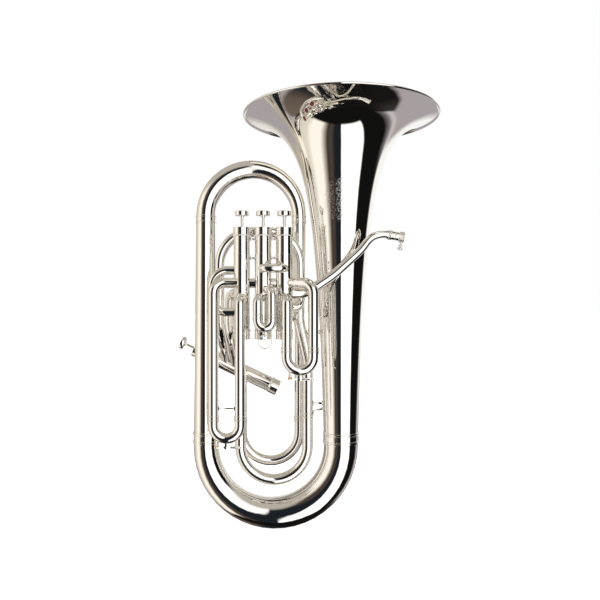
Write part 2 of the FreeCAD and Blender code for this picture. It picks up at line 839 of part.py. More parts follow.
def link(label, points, bends, radius, valves):
    """A bent tube between casings, trimmed to their bores; points run casing to casing."""
    base = points[0]
    shape = swept_tube([p - base for p in points], bends, float(radius), float(radius),
                       num("tube_wall"))
    tube = shaped(label + "_tube", shape)
    tube.Placement = FreeCAD.Placement(base, Rotation())
    bores = [valve.bore("%s_bore_%d" % (label, valve.number)) for valve in valves]
    PORTS[valves[0].number].append((points[0], points[1] - points[0], radius))
    PORTS[valves[-1].number].append((points[-1], points[-2] - points[-1], radius))
    node(cut(label, tube, bores), label)


def on_axis(valve, height):
    return Vector(float(valve.x), float(valve.y), float(height))


def on_side_valve(x):
    return Vector(x, num("valve_4_y"), float(axis_height(x)))


def make_links():
    first, second, third, fourth = (VALVES[i] for i in (1, 2, 3, 4))
    radius = size("link_radius")
    left, top = num("arch_left_x"), num("arch_top_height")
    right, y = left + num("arch_spacing"), num("arch_y")
    knee, foot = num("arch_knee_height"), num("arch_foot_height")
    lean = 3.5
    points = [on_side_valve(left + lean), Vector(left, y, knee), Vector(left, y, top),
              Vector(right, y, top), Vector(right, y, foot), on_axis(first, foot)]
    bend, knee_bend, foot_bend = num("arch_bend_radius"), 30.0, 13.0
    link("compensating_return", points, [knee_bend, bend, bend, foot_bend], radius,
         [fourth, first])

    third_x, third_y = float(third.x), float(third.y)
    level, knee = num("middle_port_height"), num("transfer_knee_height")
    aside, back, drift = third_x - num("transfer_reach"), third_y + 17, 3
    points = [on_axis(third, level), Vector(aside, back, level), Vector(aside, back, knee),
              on_side_valve(aside + drift)]
    link("transfer_pipe", points, [12.0, 22.0], radius, [third, fourth])

    loop = size("loop_radius")
    reach = third_x - num("loop_reach")
    high, low = num("loop_top_height"), num("loop_bottom_height")
    points = [on_axis(third, high), Vector(reach, third_y, high), Vector(reach, third_y, low),
              on_axis(third, low)]
    link("third_valve_loop", points, [24.0, 20.0], loop, [third])

    front, level = num("valve_y") - num("front_loop_reach"), num("front_loop_height")
    points = [on_axis(second, level), Vector(float(second.x), front, level),
              Vector(float(first.x), front, level), on_axis(first, level)]
    link("front_loop", points, [10.0, 10.0], loop, [second, first])

    narrow = radius - 0.3
    knuckles = []
    for one, other in ((third, second), (second, first)):
        height = num("upper_port_height")
        rod = turned("knuckle_%d" % one.number,
                     tube_outline(narrow, size("tube_wall"), size("valve_spacing")))
        place(rod, one.x, one.y, height, turn((0, 1, 0), 90))
        bores = [v.bore("knuckle_bore_%d_%d" % (one.number, v.number)) for v in (one, other)]
        knuckles.append(cut("knuckle_%d_trimmed" % one.number, rod, bores))
        for here, way in ((one, 1), (other, -1)):
            PORTS[here.number].append((on_axis(here, height), Vector(way, 0, 0), narrow))
    node(group("knuckle_set", knuckles), "casing_knuckles")


def make_leadpipe():
    """The tapered pipe from the mouthpiece receiver down to valve 1, and the receiver."""
    first = VALVES[1]
    y = num("leadpipe_y")
    tilt = math.radians(num("receiver_tilt"))
    along = Vector(math.cos(tilt), 0, -math.sin(tilt))
    mouth = Vector(num("receiver_x"), y, num("receiver_height"))
    seat, lead_in = 4.0, 20.0
    level = num("middle_port_height")
    points = [on_axis(first, level), Vector(float(first.x) + 32, y + 1, level),
              Vector(float(first.x) + 74, y, level + 28),
              Vector(float(first.x) + 116, y, level + 66), mouth - along * lead_in,
              mouth + along * seat]
    shape = swept_tube(points, [40.0, 120.0, 90.0, 30.0], num("leadpipe_valve_radius"),
                       num("leadpipe_end_radius"), num("tube_wall"))
    pipe = shaped("leadpipe_tube", shape)
    PORTS[1].append((points[0], points[1] - points[0], num("leadpipe_valve_radius")))
    node(cut("leadpipe_trimmed", pipe, [first.bore("leadpipe_bore")]), "leadpipe")

    wide, bore = size("receiver_radius"), size("receiver_bore_radius")
    long, deep = size("receiver_length"), size("receiver_bore_length")
    shank = size("leadpipe_end_radius") + 0.1
    root = long - deep
    outline = [(shank, 0), (wide - 2.2, 0), (wide - 2.2, 2), (wide - 0.9, 2), (wide - 0.9, root + 3),
               (wide - 1.6, root + 3), (wide - 1.6, long - 7), (wide, long - 6), (wide, long - 1),
               (wide - 0.8, long), (bore, long), (bore, root), (shank, root)]
    receiver = turned("receiver_turning", outline)
    rotation = turn((0, 1, 0), 90 + num("receiver_tilt"))
    place(receiver, size("receiver_x"), size("leadpipe_y"), size("receiver_height"), rotation)
    screw = size("screw_radius")
    seat_on = mouth + along * (num("receiver_length") - 3.5)
    down = Vector(-math.sin(tilt), 0, -math.cos(tilt))
    hole = cylinder("receiver_screw_hole", screw + 0.05, wide - bore + 4)
    hole.Placement = FreeCAD.Placement(seat_on + down * (float(bore) + 0.4), aim(down))
    node(cut("receiver", receiver, [hole]), "mouthpiece_receiver")
    outline = [(0, 0), (screw, 0), (screw, 4.5), (3.2, 5), (3.2, 6), (1.6, 6.6), (1.6, 8),
               (3.6, 8.6), (3.6, 12), (2.6, 12.8), (0, 12.8)]
    thumb = turned("receiver_screw_turning", outline)
    base = seat_on + down * (float(bore) + 0.6)
    thumb.Placement = FreeCAD.Placement(base, aim(down))
    node(thumb, "receiver_screw")


# ---------------------------------------------------------------- stays and fittings

def strut(name, start, end, radius, foot=2.2):
    """A stay: a rod with a small round flange at each end."""
    long = start.distanceToPoint(end)
    wide = float(radius) + foot
    outline = [(0, 0), (wide, 0), (wide, 1), (radius, 2), (radius, long - 2), (wide, long - 1),
               (wide, long), (0, long)]
    rod = turned(name, outline)
    rod.Placement = FreeCAD.Placement(start, aim(end - start))
    return rod


def make_stays():
    radius = size("stay_radius")
    rods = []
    for name, rise in (("upper", 0.0), ("lower", 0.0), ("slant", num("slant_stay_rise"))):
        height = num(name + "_stay_height")
        bell_side = float(BELL_X) - bell_radius(height + rise)
        foot = float(radius) + 2.2
        gap = 0.4 + foot * rise / (bell_side - neck_edge(height))
        start = Vector(neck_edge(height) + gap, 0, height)
        end = Vector(bell_side - gap, 0, height + rise)
        rods.append(strut("stay_" + name, start, end, radius))
    left, right = VALVES[3], VALVES[1]
    casing = num("casing_radius")
    for index, (one, other) in enumerate(((left, VALVES[2]), (VALVES[2], right))):
        for name in ("upper", "lower"):
            level = num(name + "_brace_height")
            start = Vector(float(one.x) + casing + 0.7, float(one.y), level)
            end = Vector(float(other.x) - casing - 0.7, float(other.y), level)
            rods.append(strut("casing_brace_%s_%d" % (name, index), start, end, 1.4, 1.2))
    height = num("slide_3_brace_height")
    start = Vector(num("slide_3_left_x") + num("slide_radius") + 0.1, num("slide_y"), height)
    end = start + Vector(num("slide_3_spacing") - 2 * num("slide_radius") - 0.2, 0, 0)
    rods.append(strut("slide_3_brace", start, end, 1.2, 2.2))
    node(group("stay_set", rods), "stays")

    pipe = Vector(128, num("leadpipe_y"), num("leadpipe_stay_height"))
    axis = Vector(float(BELL_X), 0, pipe.z)
    inward = (axis - pipe).normalize()
    near = pipe + inward * (num("leadpipe_valve_radius") + 0.2)
    far = axis - inward * (bell_radius(pipe.z) + 0.4)
    node(strut("leadpipe_stay", near, far, 2.6, 3.0), "leadpipe_brace")


def neck_edge(height):
    """The +X side of the neck or of the tuning slide's sleeve at a height."""
    if height < num("neck_foot_height"):
        return float(MAIN_RIGHT_X) + num("main_slide_radius")
    share = (num("neck_bend_height") - height) / (num("neck_bend_height")
                                                  - num("neck_foot_height") - 12)
    middle = float(NECK_X) + (float(MAIN_RIGHT_X) - float(NECK_X)) * min(max(share, 0), 1)
    return middle + num("main_slide_radius") + 1.4


def make_pull_ring():
    """The finger ring that hangs from the second slide's crook in a small eye."""
    x = size("slide_2_left_x") + size("slide_2_spacing") / 2
    wire = size("ring_wire_radius")
    foot = size("slide_2_bottom")
    opening, thread, width, stud = wire + 0.6, 1.4, 1.6, 0.9
    outside = opening + thread
    eye_height = foot - outside - stud / 2
    loop = turned("ring_eye_loop", tube_outline(outside, thread, width))
    place(loop, x - width / 2, size("slide_y"), eye_height, turn((0, 1, 0), 90))
    shank = place(cylinder("ring_eye_stud", 1.3, stud), x, size("slide_y"), foot - stud)
    node(fuse("ring_eye", [loop, shank]), "pull_ring_eye")
    ring = doc.addObject("Part::Torus", "ring_loop")
    bind(ring, Radius1=size("ring_radius"), Radius2=wire)
    place(ring, x, size("slide_y"), eye_height - size("ring_radius"), turn((1, 0, 0), 90))
    node(ring, "pull_ring")


def make_water_key(number):
    """A sprung lever under a crook: its cork closes a spout, and its pin sits in two ears."""
    tag = "slide_%d" % number
    name = "water_key_%d" % number
    x = size(tag + "_left_x") + size(tag + "_spacing") / 2
    y, bottom = size("slide_y"), size(tag + "_bottom")
    hub, pin = size("key_hub_radius"), size("key_pin_radius")
    width, reach = size("key_width"), size("key_reach")
    pivot = bottom - size("key_drop") + 2

    eared = []
    for side, sign in (("front", -1), ("back", 1)):
        ear = doc.addObject("Part::Box", "%s_ear_%s" % (name, side))
        bind(ear, Length=2 * hub, Width=1.2, Height=size("key_drop") + 1)
        shift = y + sign * (width / 2 + 0.9) - 0.6
        place(ear, x - hub, shift, pivot - hub)
        eared.append(ear)
    axle = cylinder(name + "_axle", pin, width + 3.6)
    place(axle, x, y + width / 2 + 1.8, pivot, turn((1, 0, 0), 90))
    bow = doc.addObject("Part::Torus", name + "_bow_space")
    half = size(tag + "_spacing") / 2
    bind(bow, Radius1=half, Radius2=size("slide_radius") + 0.02)
    place(bow, x, y, bottom + size("slide_radius") + half, turn((1, 0, 0), 90))
    thick, cork_high = 2.4, 4.2
    cork_x = x - reach + size("cork_radius") - 1
    cork_top = pivot - thick / 2 + cork_high
    spout = cylinder(name + "_spout", size("spout_radius"), 9)
    channel = cylinder(name + "_channel", size("spout_radius") - 0.8, 10)
    place(spout, cork_x, y, cork_top + 0.05)
    place(channel, cork_x, y, cork_top)
    post = cut(name + "_post", fuse(name + "_ears", eared + [axle]), [bow])
    nozzle = cut(name + "_nozzle", spout, [channel, bow])
    node(group(name + "_fixed", [post, nozzle]), name + "_saddle")

    bar = doc.addObject("Part::Box", name + "_bar")
    bind(bar, Length=2 * reach, Width=width, Height=thick)
    place(bar, x - reach, y - width / 2, pivot - thick / 2)
    barrel = cylinder(name + "_barrel", hub, width)
    place(barrel, x, y + width / 2, pivot, turn((1, 0, 0), 90))
    cork = cylinder(name + "_cork", size("cork_radius"), cork_high)
    place(cork, cork_x, y, pivot - thick / 2)
    touch = cylinder(name + "_touch", size("cork_radius") + 0.4, 1.6)
    place(touch, x + reach, y, pivot - thick / 2)
    bored = cylinder(name + "_bored", pin + 0.05, width + 2)
    place(bored, x, y + width / 2 + 1, pivot, turn((1, 0, 0), 90))
    solid = fuse(name + "_lever", [bar, barrel, cork, touch])
    node(cut(name + "_lever_bored", solid, [bored]), name)


make_bell()
make_main_bore()
make_slides()
make_main_slide()
make_fourth_slide()
make_links()
make_leadpipe()
tops, bottoms = [], []
for valve in VALVES.values():
    make_casing(valve, PORTS[valve.number])
    top_cap, bottom_cap = make_caps(valve)
    tops.append(top_cap)
    bottoms.append(bottom_cap)
    make_piston(valve)
    make_finger_work(valve)
node(group("top_cap_set", tops), "top_caps")
node(group("bottom_cap_set", bottoms), "bottom_caps")
make_stays()
make_pull_ring()
make_water_key(1)
make_water_key(3)

doc.recompute()

for item in doc.Objects:
    if "Invalid" in item.State or "Error" in item.State:
        raise RuntimeError("%s did not compute: %s" % (item.Name, item.State))
for item in NODES:
    if item.Shape.isNull() or not item.Shape.isValid():
        raise RuntimeError("%s has no valid shape" % item.Label)

os.makedirs("parts", exist_ok=True)
for item in NODES:
    item.Shape.exportStep("parts/%s.step" % item.Label)
    print("%-24s %2d solids %9.1f mm3" % (item.Label, len(item.Shape.Solids), item.Shape.Volume))
print(len(NODES), "sub-parts")
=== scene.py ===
import math
import bpy
from mathutils import Matrix, Vector


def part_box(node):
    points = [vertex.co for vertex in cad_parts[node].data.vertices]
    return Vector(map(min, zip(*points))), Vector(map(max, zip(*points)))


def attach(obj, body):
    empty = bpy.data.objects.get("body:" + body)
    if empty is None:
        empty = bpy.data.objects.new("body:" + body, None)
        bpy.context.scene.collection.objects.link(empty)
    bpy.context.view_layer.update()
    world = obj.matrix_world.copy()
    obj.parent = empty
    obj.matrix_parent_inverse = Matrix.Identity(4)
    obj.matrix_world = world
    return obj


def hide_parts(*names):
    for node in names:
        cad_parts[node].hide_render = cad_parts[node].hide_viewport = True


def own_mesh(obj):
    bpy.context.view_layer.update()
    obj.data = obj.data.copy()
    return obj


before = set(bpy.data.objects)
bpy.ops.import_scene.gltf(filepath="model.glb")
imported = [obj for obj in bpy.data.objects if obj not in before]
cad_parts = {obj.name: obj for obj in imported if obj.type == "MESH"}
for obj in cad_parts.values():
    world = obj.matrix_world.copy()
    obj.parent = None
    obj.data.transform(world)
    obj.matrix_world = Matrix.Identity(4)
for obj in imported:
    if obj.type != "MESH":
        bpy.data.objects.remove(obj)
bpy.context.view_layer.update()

# The bell: a spun and seamed sheet horn, silver plated and buffed to a mirror. Its edge is rolled
# over a wire, and a spray of scrollwork is cut by hand into the side that faces the player.
UP = Vector((0, 0, 1))
MM = 0.001


class Wire:
    """One output of a shader node, so that maths on it reads as Python."""

    def __init__(self, tree, socket):
        self.tree, self.socket = tree, socket

    def maths(self, operation, *values):
        return self.tree.node("ShaderNodeMath", {"operation": operation}, dict(enumerate(values)))

    def __add__(self, other):
        return self.maths("ADD", self, other)

    __radd__ = __add__

    def __sub__(self, other):
        return self.maths("SUBTRACT", self, other)

    def __rsub__(self, other):
        return self.maths("SUBTRACT", other, self)

    def __mul__(self, other):
        return self.maths("MULTIPLY", self, other)

    __rmul__ = __mul__

    def __truediv__(self, other):
        return self.maths("DIVIDE", self, other)

    def __gt__(self, other):
        return self.maths("GREATER_THAN", self, other)

    def __lt__(self, other):
        return self.maths("LESS_THAN", self, other)

    def part(self, name):
        return Wire(self.tree, self.socket.node.outputs[name])


class Finish:
    """A material's or the world's node tree, with one way to add a node."""

    def __init__(self, name, owner=None):
        self.owner = owner or bpy.data.materials.new(name)
        self.owner.use_nodes = True
        self.tree = self.owner.node_tree
        self.tree.nodes.clear()

    def node(self, kind, settings=None, sockets=None, stops=None):
        made = self.tree.nodes.new(kind)
        for name, value in (settings or {}).items():
            setattr(made, name, value)
        if stops:
            ramp = made.color_ramp
            while len(ramp.elements) < len(stops):
                ramp.elements.new(1.0)
            for element, (place, colour) in zip(ramp.elements, stops):
                element.position = place
                element.color = (*colour, 1.0)
        for name, value in (sockets or {}).items():
            if isinstance(value, Wire):
                self.tree.links.new(value.socket, made.inputs[name])
            else:
                made.inputs[name].default_value = value
        return Wire(self, made.outputs[0]) if made.outputs else None

    def object_place(self, scale=(1, 1, 1)):
        place = self.node("ShaderNodeTexCoord").part("Object")
        return self.node("ShaderNodeMapping", sockets={"Vector": place, "Scale": scale})

    def noise(self, place, scale, detail=2.0):
        return self.node("ShaderNodeTexNoise", None,
                         {"Vector": place, "Scale": scale, "Detail": detail})

    def blend(self, share, first, second):
        settings = {"data_type": "RGBA"}
        made = self.node("ShaderNodeMix", settings, {0: share, 6: first, 7: second})
        return made.part(2)

    def shine(self, sockets):
        surface = self.node("ShaderNodeBsdfPrincipled", None, sockets)
        self.node("ShaderNodeOutputMaterial", None, {"Surface": surface})
        return self.owner


def plated(name, bright=(0.97, 0.95, 0.915, 1), dull=(0.93, 0.895, 0.83, 1), rough=0.012,
           engraved=None):
    """Buffed plate: faint tarnish in drifts, hairline buffing marks and a slight waviness."""
    finish = Finish(name)
    place = finish.object_place()
    drift = finish.noise(place, 9.0, 4.0)
    hairs = finish.noise(finish.object_place((900, 900, 60)), 1.0, 3.0)
    wave = finish.noise(place, 38.0, 1.0)
    tint = finish.blend(drift, bright, dull)
    roughness = rough + 0.02 * drift + 0.02 * hairs
    height = wave + 0.006 * hairs
    if engraved:
        cut = engraved(finish)
        height = height - 0.5 * cut
        roughness = roughness + 0.14 * cut
        tint = finish.blend(cut * 0.22, tint, (0.62, 0.52, 0.46, 1))
    bump = finish.node("ShaderNodeBump", None,
                       {"Strength": 0.2, "Distance": 0.0005, "Height": height})
    return finish.shine({"Base Color": tint, "Roughness": roughness, "Metallic": 1.0,
                         "Normal": bump})


bell_low, bell_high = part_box("bell")
rim_low, rim_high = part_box("bell_rim_wire")
BELL_X = (bell_low.x + bell_high.x) / 2
BELL_FOOT, BELL_RIM = bell_low.z, bell_high.z
RIM_RADIUS = (bell_high.x - bell_low.x) / 2
RIM_WIRE = (rim_high.z - rim_low.z) / 2
FLARE_REACH, FLARE_POWER = 20.84 * MM, 0.53
BELL_WALL = 0.8 * MM


def bell_radius(height):
    below = BELL_RIM - height
    return RIM_RADIUS * (FLARE_REACH / (below + FLARE_REACH)) ** FLARE_POWER


def scrollwork(finish):
    """Curling cuts in an oval on the bell's front, fading out at its edge."""
    place = finish.node("ShaderNodeTexCoord").part("Object")
    centre = (BELL_X - 10 * MM, -50 * MM, 0.505)
    moved = finish.node("ShaderNodeVectorMath", {"operation": "SUBTRACT"}, {0: place, 1: centre})
    oval = finish.node("ShaderNodeVectorMath", {"operation": "MULTIPLY"},
                       {0: moved, 1: (52.0, 10.0, 30.0)})
    reach = finish.node("ShaderNodeVectorMath", {"operation": "LENGTH"}, {0: oval}).part("Value")
    curls = finish.node("ShaderNodeTexWave", {"wave_type": "RINGS", "rings_direction": "Y"},
                        {"Vector": moved, "Scale": 60.0, "Distortion": 9.0, "Detail": 1.0,
                         "Detail Scale": 2.2}).part("Fac")
    leaves = finish.node("ShaderNodeTexVoronoi", {"feature": "DISTANCE_TO_EDGE"},
                         {"Vector": moved, "Scale": 190.0})
    lines = (curls > 0.80) + (leaves < 0.035)
    inside = 1 - finish.node("ShaderNodeMapRange", None, {"Value": reach, "From Min": 0.75,
                                                           "From Max": 1.0})
    return finish.node("ShaderNodeClamp", None, {"Value": lines * inside})


silver = plated("silver_plate")
bell_silver = plated("engraved_silver_plate", engraved=scrollwork)


def ring_at(centre, direction, radius, sides):
    """Starts a new piece: a ring of points facing along a direction, left in edit mode."""
    bpy.ops.object.select_all(action="DESELECT")
    facing = Vector(direction).to_track_quat("Z", "Y").to_euler()
    bpy.ops.mesh.primitive_circle_add(vertices=sides, radius=radius, location=centre,
                                      rotation=facing)
    bpy.ops.object.transform_apply(location=True, rotation=True, scale=True)
    bpy.ops.object.mode_set(mode="EDIT")
    bpy.ops.mesh.select_all(action="SELECT")


def widen(ratio, centre):
    if abs(ratio - 1) > 1e-6:
        bpy.ops.transform.resize(value=(ratio, ratio, ratio), center_override=centre)


def closed(bevel=0.0, corner=35):
    """Ends a drawn piece: open ends filled, doubles merged, edges eased and shaded smooth."""
    bpy.ops.mesh.select_all(action="SELECT")
    bpy.ops.mesh.remove_doubles(threshold=2e-6)
    bpy.ops.mesh.fill_holes(sides=0)
    bpy.ops.mesh.normals_make_consistent(inside=False)
    bpy.ops.object.mode_set(mode="OBJECT")
    piece = bpy.context.object
    if bevel:
        ease = piece.modifiers.new("ease", "BEVEL")
        ease.width = bevel
        ease.segments = 2
        ease.limit_method = "ANGLE"
        ease.angle_limit = math.radians(corner)
        ease.use_clamp_overlap = True
        bpy.ops.object.modifier_apply(modifier=ease.name)
    bpy.ops.object.shade_smooth_by_angle(angle=math.radians(corner))
    return piece


def turned(outline, sides=48, bevel=0.15 * MM):
    """Turns an outline of (radius, height) corners about +Z; a hollow one ends where it starts."""
    (radius, height), rest = outline[0], outline[1:]
    ring_at((0, 0, height), UP, radius, sides)
    for next_radius, next_height in rest:
        bpy.ops.mesh.extrude_region_move(
            TRANSFORM_OT_translate={"value": (0, 0, next_height - height)})
        widen(next_radius / radius, (0, 0, next_height))
        radius, height = next_radius, next_height
    return closed(bevel)


def pick(*pieces):
    """Selects these pieces alone, with the first one active."""
    bpy.ops.object.select_all(action="DESELECT")
    for piece in pieces:
        piece.select_set(True)
    bpy.context.view_layer.objects.active = pieces[0]


def stood(piece, place, direction=UP):
    """Puts a piece made about +Z at its place, facing along a direction."""
    pick(piece)
    piece.location = place
    piece.rotation_euler = Vector(direction).to_track_quat("Z", "Y").to_euler()
    bpy.ops.object.transform_apply(location=True, rotation=True, scale=True)
    return piece


def copied(piece):
    """Another of a piece, with its own mesh."""
    twin = piece.copy()
    twin.data = piece.data.copy()
    bpy.context.collection.objects.link(twin)
    return twin


def joined(pieces):
    pick(*pieces)
    bpy.ops.object.join()
    return pieces[0]


def fitted(piece, name, finish, body, nodes):
    """Names a finished piece, gives it its finish and puts it on its body."""
    piece.name = piece.data.name = name
    piece.data.materials.clear()
    piece.data.materials.append(finish)
    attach(piece, body)
    if nodes:
        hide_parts(*nodes)
    return piece


outside = [(bell_radius(h), h) for h in
           [BELL_RIM - (BELL_RIM - BELL_FOOT) * (1 - i / 64) ** 2 for i in range(64)]]
roll = []
for step in range(0, 15):
    angle = math.radians(-90 + 300 * step / 14)
    roll.append((RIM_RADIUS + RIM_WIRE + RIM_WIRE * math.cos(angle),
                 BELL_RIM - RIM_WIRE * 0.1 + RIM_WIRE * math.sin(angle)))
inside = [(r - BELL_WALL, h) for r, h in reversed(outside)]
horn = turned(outside + roll + inside + outside[:1], sides=160, bevel=0)
fitted(stood(horn, (BELL_X, 0, 0)), "bell_horn", bell_silver, "root", ["bell", "bell_rim_wire"])

# The bottom bow, the main branch and the top bow: tapered tubes bent round a mandrel and buffed.
# Soldered sleeves with a raised band at each end, called garlands, close the joints.


def tube(points, corners, radius_at, sides=40):
    """Draws a closed tube along straight runs with rounded corners; radius_at(share of length)."""
    moves, at = [], points[0]
    for i, bend in enumerate(corners, start=1):
        before = (points[i] - points[i - 1]).normalized()
        after = (points[i + 1] - points[i]).normalized()
        half = before.angle(after) / 2
        start = points[i] - before * bend * math.tan(half)
        pivot = start + (after - before * before.dot(after)).normalized() * bend
        axis = before.cross(after).normalized()
        moves.append((start - at, None, None, 0.0, (start - at).length))
        moves.append((None, pivot, axis, 2 * half, 2 * half * bend))
        at = points[i] + after * bend * math.tan(half)
    moves.append((points[-1] - at, None, None, 0.0, (points[-1] - at).length))
    whole = sum(move[4] for move in moves)
    centre, gone, radius = points[0].copy(), 0.0, radius_at(0.0)
    ring_at(centre, points[1] - points[0], radius, sides)
    for straight, pivot, axis, angle, length in moves:
        if length < 1e-6:
            continue
        steps = max(1, round(length / 0.03)) if straight else max(3, round(math.degrees(angle) / 7.5))
        for _ in range(steps):
            if straight:
                shift = straight / steps
                bpy.ops.mesh.extrude_region_move(TRANSFORM_OT_translate={"value": shift})
                centre = centre + shift
            else:
                bpy.ops.mesh.spin(steps=1, angle=-angle / steps, center=pivot, axis=axis)
                arm = centre - pivot
                arm.rotate(Matrix.Rotation(angle / steps, 3, axis))
                centre = pivot + arm
            gone += length / steps
            wanted = radius_at(gone / whole)
            widen(wanted / radius, centre)
            radius = wanted
    return closed(corner=40)


def even(radius):
    return lambda share: radius


def tapering(first, last):
    return lambda share: first + (last - first) * share


bow_low, bow_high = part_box("bottom_bow")
LEFT_R, BOTTOM_R, RIGHT_R = 19.4 * MM, 24.3 * MM, 27.0 * MM
BRANCH_X = bow_low.x + LEFT_R
BOW_BEND = (BELL_X - BRANCH_X) / 2
BOW_CENTRE = BOW_BEND + BOTTOM_R
JOINT = bow_high.z


def bow_radius(first, middle, last, stub, bend):
    """Radius along a conical half-turn with straight stubs."""
    turn = math.pi * bend
    whole = turn + 2 * stub

    def radius_at(share):
        arc = min(max((share * whole - stub) / turn, 0), 1)
        return (first * (1 - arc) * (1 - 2 * arc) + 4 * middle * arc * (1 - arc)
                + last * arc * (2 * arc - 1))
    return radius_at


def half_turn(left_x, right_x, y, start_z, bottom_z, radius_at, sides=40):
    """A U from a left leg down (or up) to bottom_z, the centre line's furthest height, and back."""
    bend = (right_x - left_x) / 2
    points = [Vector((left_x, y, start_z)), Vector((left_x, y, bottom_z)),
              Vector((right_x, y, bottom_z)), Vector((right_x, y, start_z))]
    return tube(points, [bend, bend], radius_at, sides)


bow = half_turn(BRANCH_X, BELL_X, 0, JOINT, BOW_CENTRE - BOW_BEND,
                bow_radius(LEFT_R, BOTTOM_R, RIGHT_R, JOINT - BOW_CENTRE, BOW_BEND), sides=72)
fitted(bow, "bottom_bow_tube", silver, "root", ["bottom_bow"])

top_low, top_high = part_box("top_bow")
TOP_R, APEX_R, END_R = 15.4 * MM, 14.0 * MM, 10.8 * MM
NECK_X = top_high.x - END_R
TOP_BEND = (NECK_X - BRANCH_X) / 2
TOP_CENTRE = top_low.z
arch = half_turn(BRANCH_X, NECK_X, 0, TOP_CENTRE, TOP_CENTRE + TOP_BEND,
                 bow_radius(TOP_R, APEX_R, END_R, 0, TOP_BEND), sides=64)
fitted(arch, "top_bow_tube", silver, "root", ["top_bow"])

branch = tube([Vector((BRANCH_X, 0, JOINT)), Vector((BRANCH_X, 0, TOP_CENTRE))], [],
              tapering(LEFT_R, TOP_R), sides=64)
fitted(branch, "main_branch_tube", silver, "root", ["main_branch"])


def bead(inner, outer, low, high, steps=6):
    """The outline of a half-round band standing out from inner to outer between two heights."""
    middle, half = (low + high) / 2, (high - low) / 2
    return [(inner + (outer - inner) * math.sin(math.pi * i / steps),
             middle - half * math.cos(math.pi * i / steps)) for i in range(steps + 1)]


def garland(inner, wall, width, band):
    """A sleeve with a half-round bead at each end and a finer one inside each of them."""
    outer, waist = inner + wall, inner + wall * 0.35
    fine = inner + wall * 0.75
    outline = [(inner, 0)] + bead(waist, outer, 0, band)
    outline += bead(waist, fine, band * 1.25, band * 1.75)
    outline += bead(waist, fine, width - band * 1.75, width - band * 1.25)
    outline += bead(waist, outer, width - band, width) + [(inner, width), (inner, 0)]
    return turned(outline, sides=72, bevel=0)


for name in ("bell_ferrule", "branch_ferrule"):
    low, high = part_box(name)
    wide = (high.x - low.x) / 2
    sleeve = garland(wide - 1.2 * MM, 1.2 * MM, high.z - low.z, 3.0 * MM)
    stood(sleeve, ((low.x + high.x) / 2, 0, low.z))
    fitted(sleeve, name + "_garland", silver, "root", [name])

ring_low, ring_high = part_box("top_bow_rings")
rings = []
for x, radius in ((BRANCH_X, TOP_R), (NECK_X, END_R)):
    inner = radius + 0.3 * MM
    band = garland(inner, 0.6 * MM, ring_high.z - ring_low.z, 2.2 * MM)
    rings.append(stood(band, (x, 0, ring_low.z)))
fitted(joined(rings), "top_bow_garlands", silver, "root", ["top_bow_rings"])

# The neck: drawn tube that steps back from the top bow to the tuning slide's right-hand leg.
MAIN_R = 8.5 * MM
MAIN_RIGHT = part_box("main_slide_crook")[1].x - MAIN_R
NECK_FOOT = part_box("neck_pipe")[0].z
NECK_BEND, NECK_KNEE = 0.324, NECK_FOOT + 12 * MM
neck = [Vector((NECK_X, 0, TOP_CENTRE)), Vector((NECK_X, 0, NECK_BEND)),
        Vector((MAIN_RIGHT, 0, NECK_KNEE)), Vector((MAIN_RIGHT, 0, NECK_FOOT))]
fitted(tube(neck, [70 * MM, 40 * MM], tapering(END_R, MAIN_R), 48), "neck_tube", silver, "root",
       ["neck_pipe"])

# The four piston valves: drawn casings with a soldered band, screwed caps with knurled edges,
# a polished stem, and a cupped button with a deep red inlay over it.
VALVE_LENGTHS = {1: 165 * MM, 2: 165 * MM, 3: 165 * MM, 4: 150 * MM}
CASING_R, BORE_R, CAP_R, CAP_FLOOR = 12.3 * MM, 11.2 * MM, 13.1 * MM, 2.4 * MM
TOP_CAP, BOTTOM_CAP = 13 * MM, 14 * MM
STEM_R = 2.25 * MM
SIDE_LEAN = math.radians(25.5)
TUBE_STOP = BORE_R + 0.4 * MM


def axis_of(number):
    """A valve's foot and the direction of its axis, from its casing and cap."""
    if number < 4:
        low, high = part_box("stem_%d" % number)
        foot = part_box("valve_casing_%d" % number)[0].z - CAP_FLOOR
        return Vector(((low.x + high.x) / 2, (low.y + high.y) / 2, foot)), UP
    up = Vector((-math.cos(SIDE_LEAN), 0, math.sin(SIDE_LEAN)))
    low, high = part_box("valve_casing_4")
    foot = Vector((high.x - CASING_R * math.sin(SIDE_LEAN), (low.y + high.y) / 2,
                   low.z + CASING_R * math.cos(SIDE_LEAN)))
    return foot - up * CAP_FLOOR, up


def knurled(piece, low, high, count):
    """Presses flutes into the faces of a rim between two heights, round the Z axis."""
    pick(piece)
    bpy.ops.object.mode_set(mode="EDIT")
    bpy.ops.mesh.select_all(action="DESELECT")
    bpy.ops.object.mode_set(mode="OBJECT")
    for face in piece.data.polygons:
        middle = face.center
        if low < middle.z < high and abs(face.normal.z) < 0.2:
            share = (math.atan2(middle.y, middle.x) / math.tau) % 1
            face.select = int(share * count) % 2 == 0
    bpy.ops.object.mode_set(mode="EDIT")
    bpy.ops.mesh.select_mode(type="FACE")
    bpy.ops.mesh.inset(thickness=0.12 * MM, depth=-0.25 * MM, use_individual=True)
    bpy.ops.mesh.select_mode(type="VERT")
    bpy.ops.object.mode_set(mode="OBJECT")
    return piece


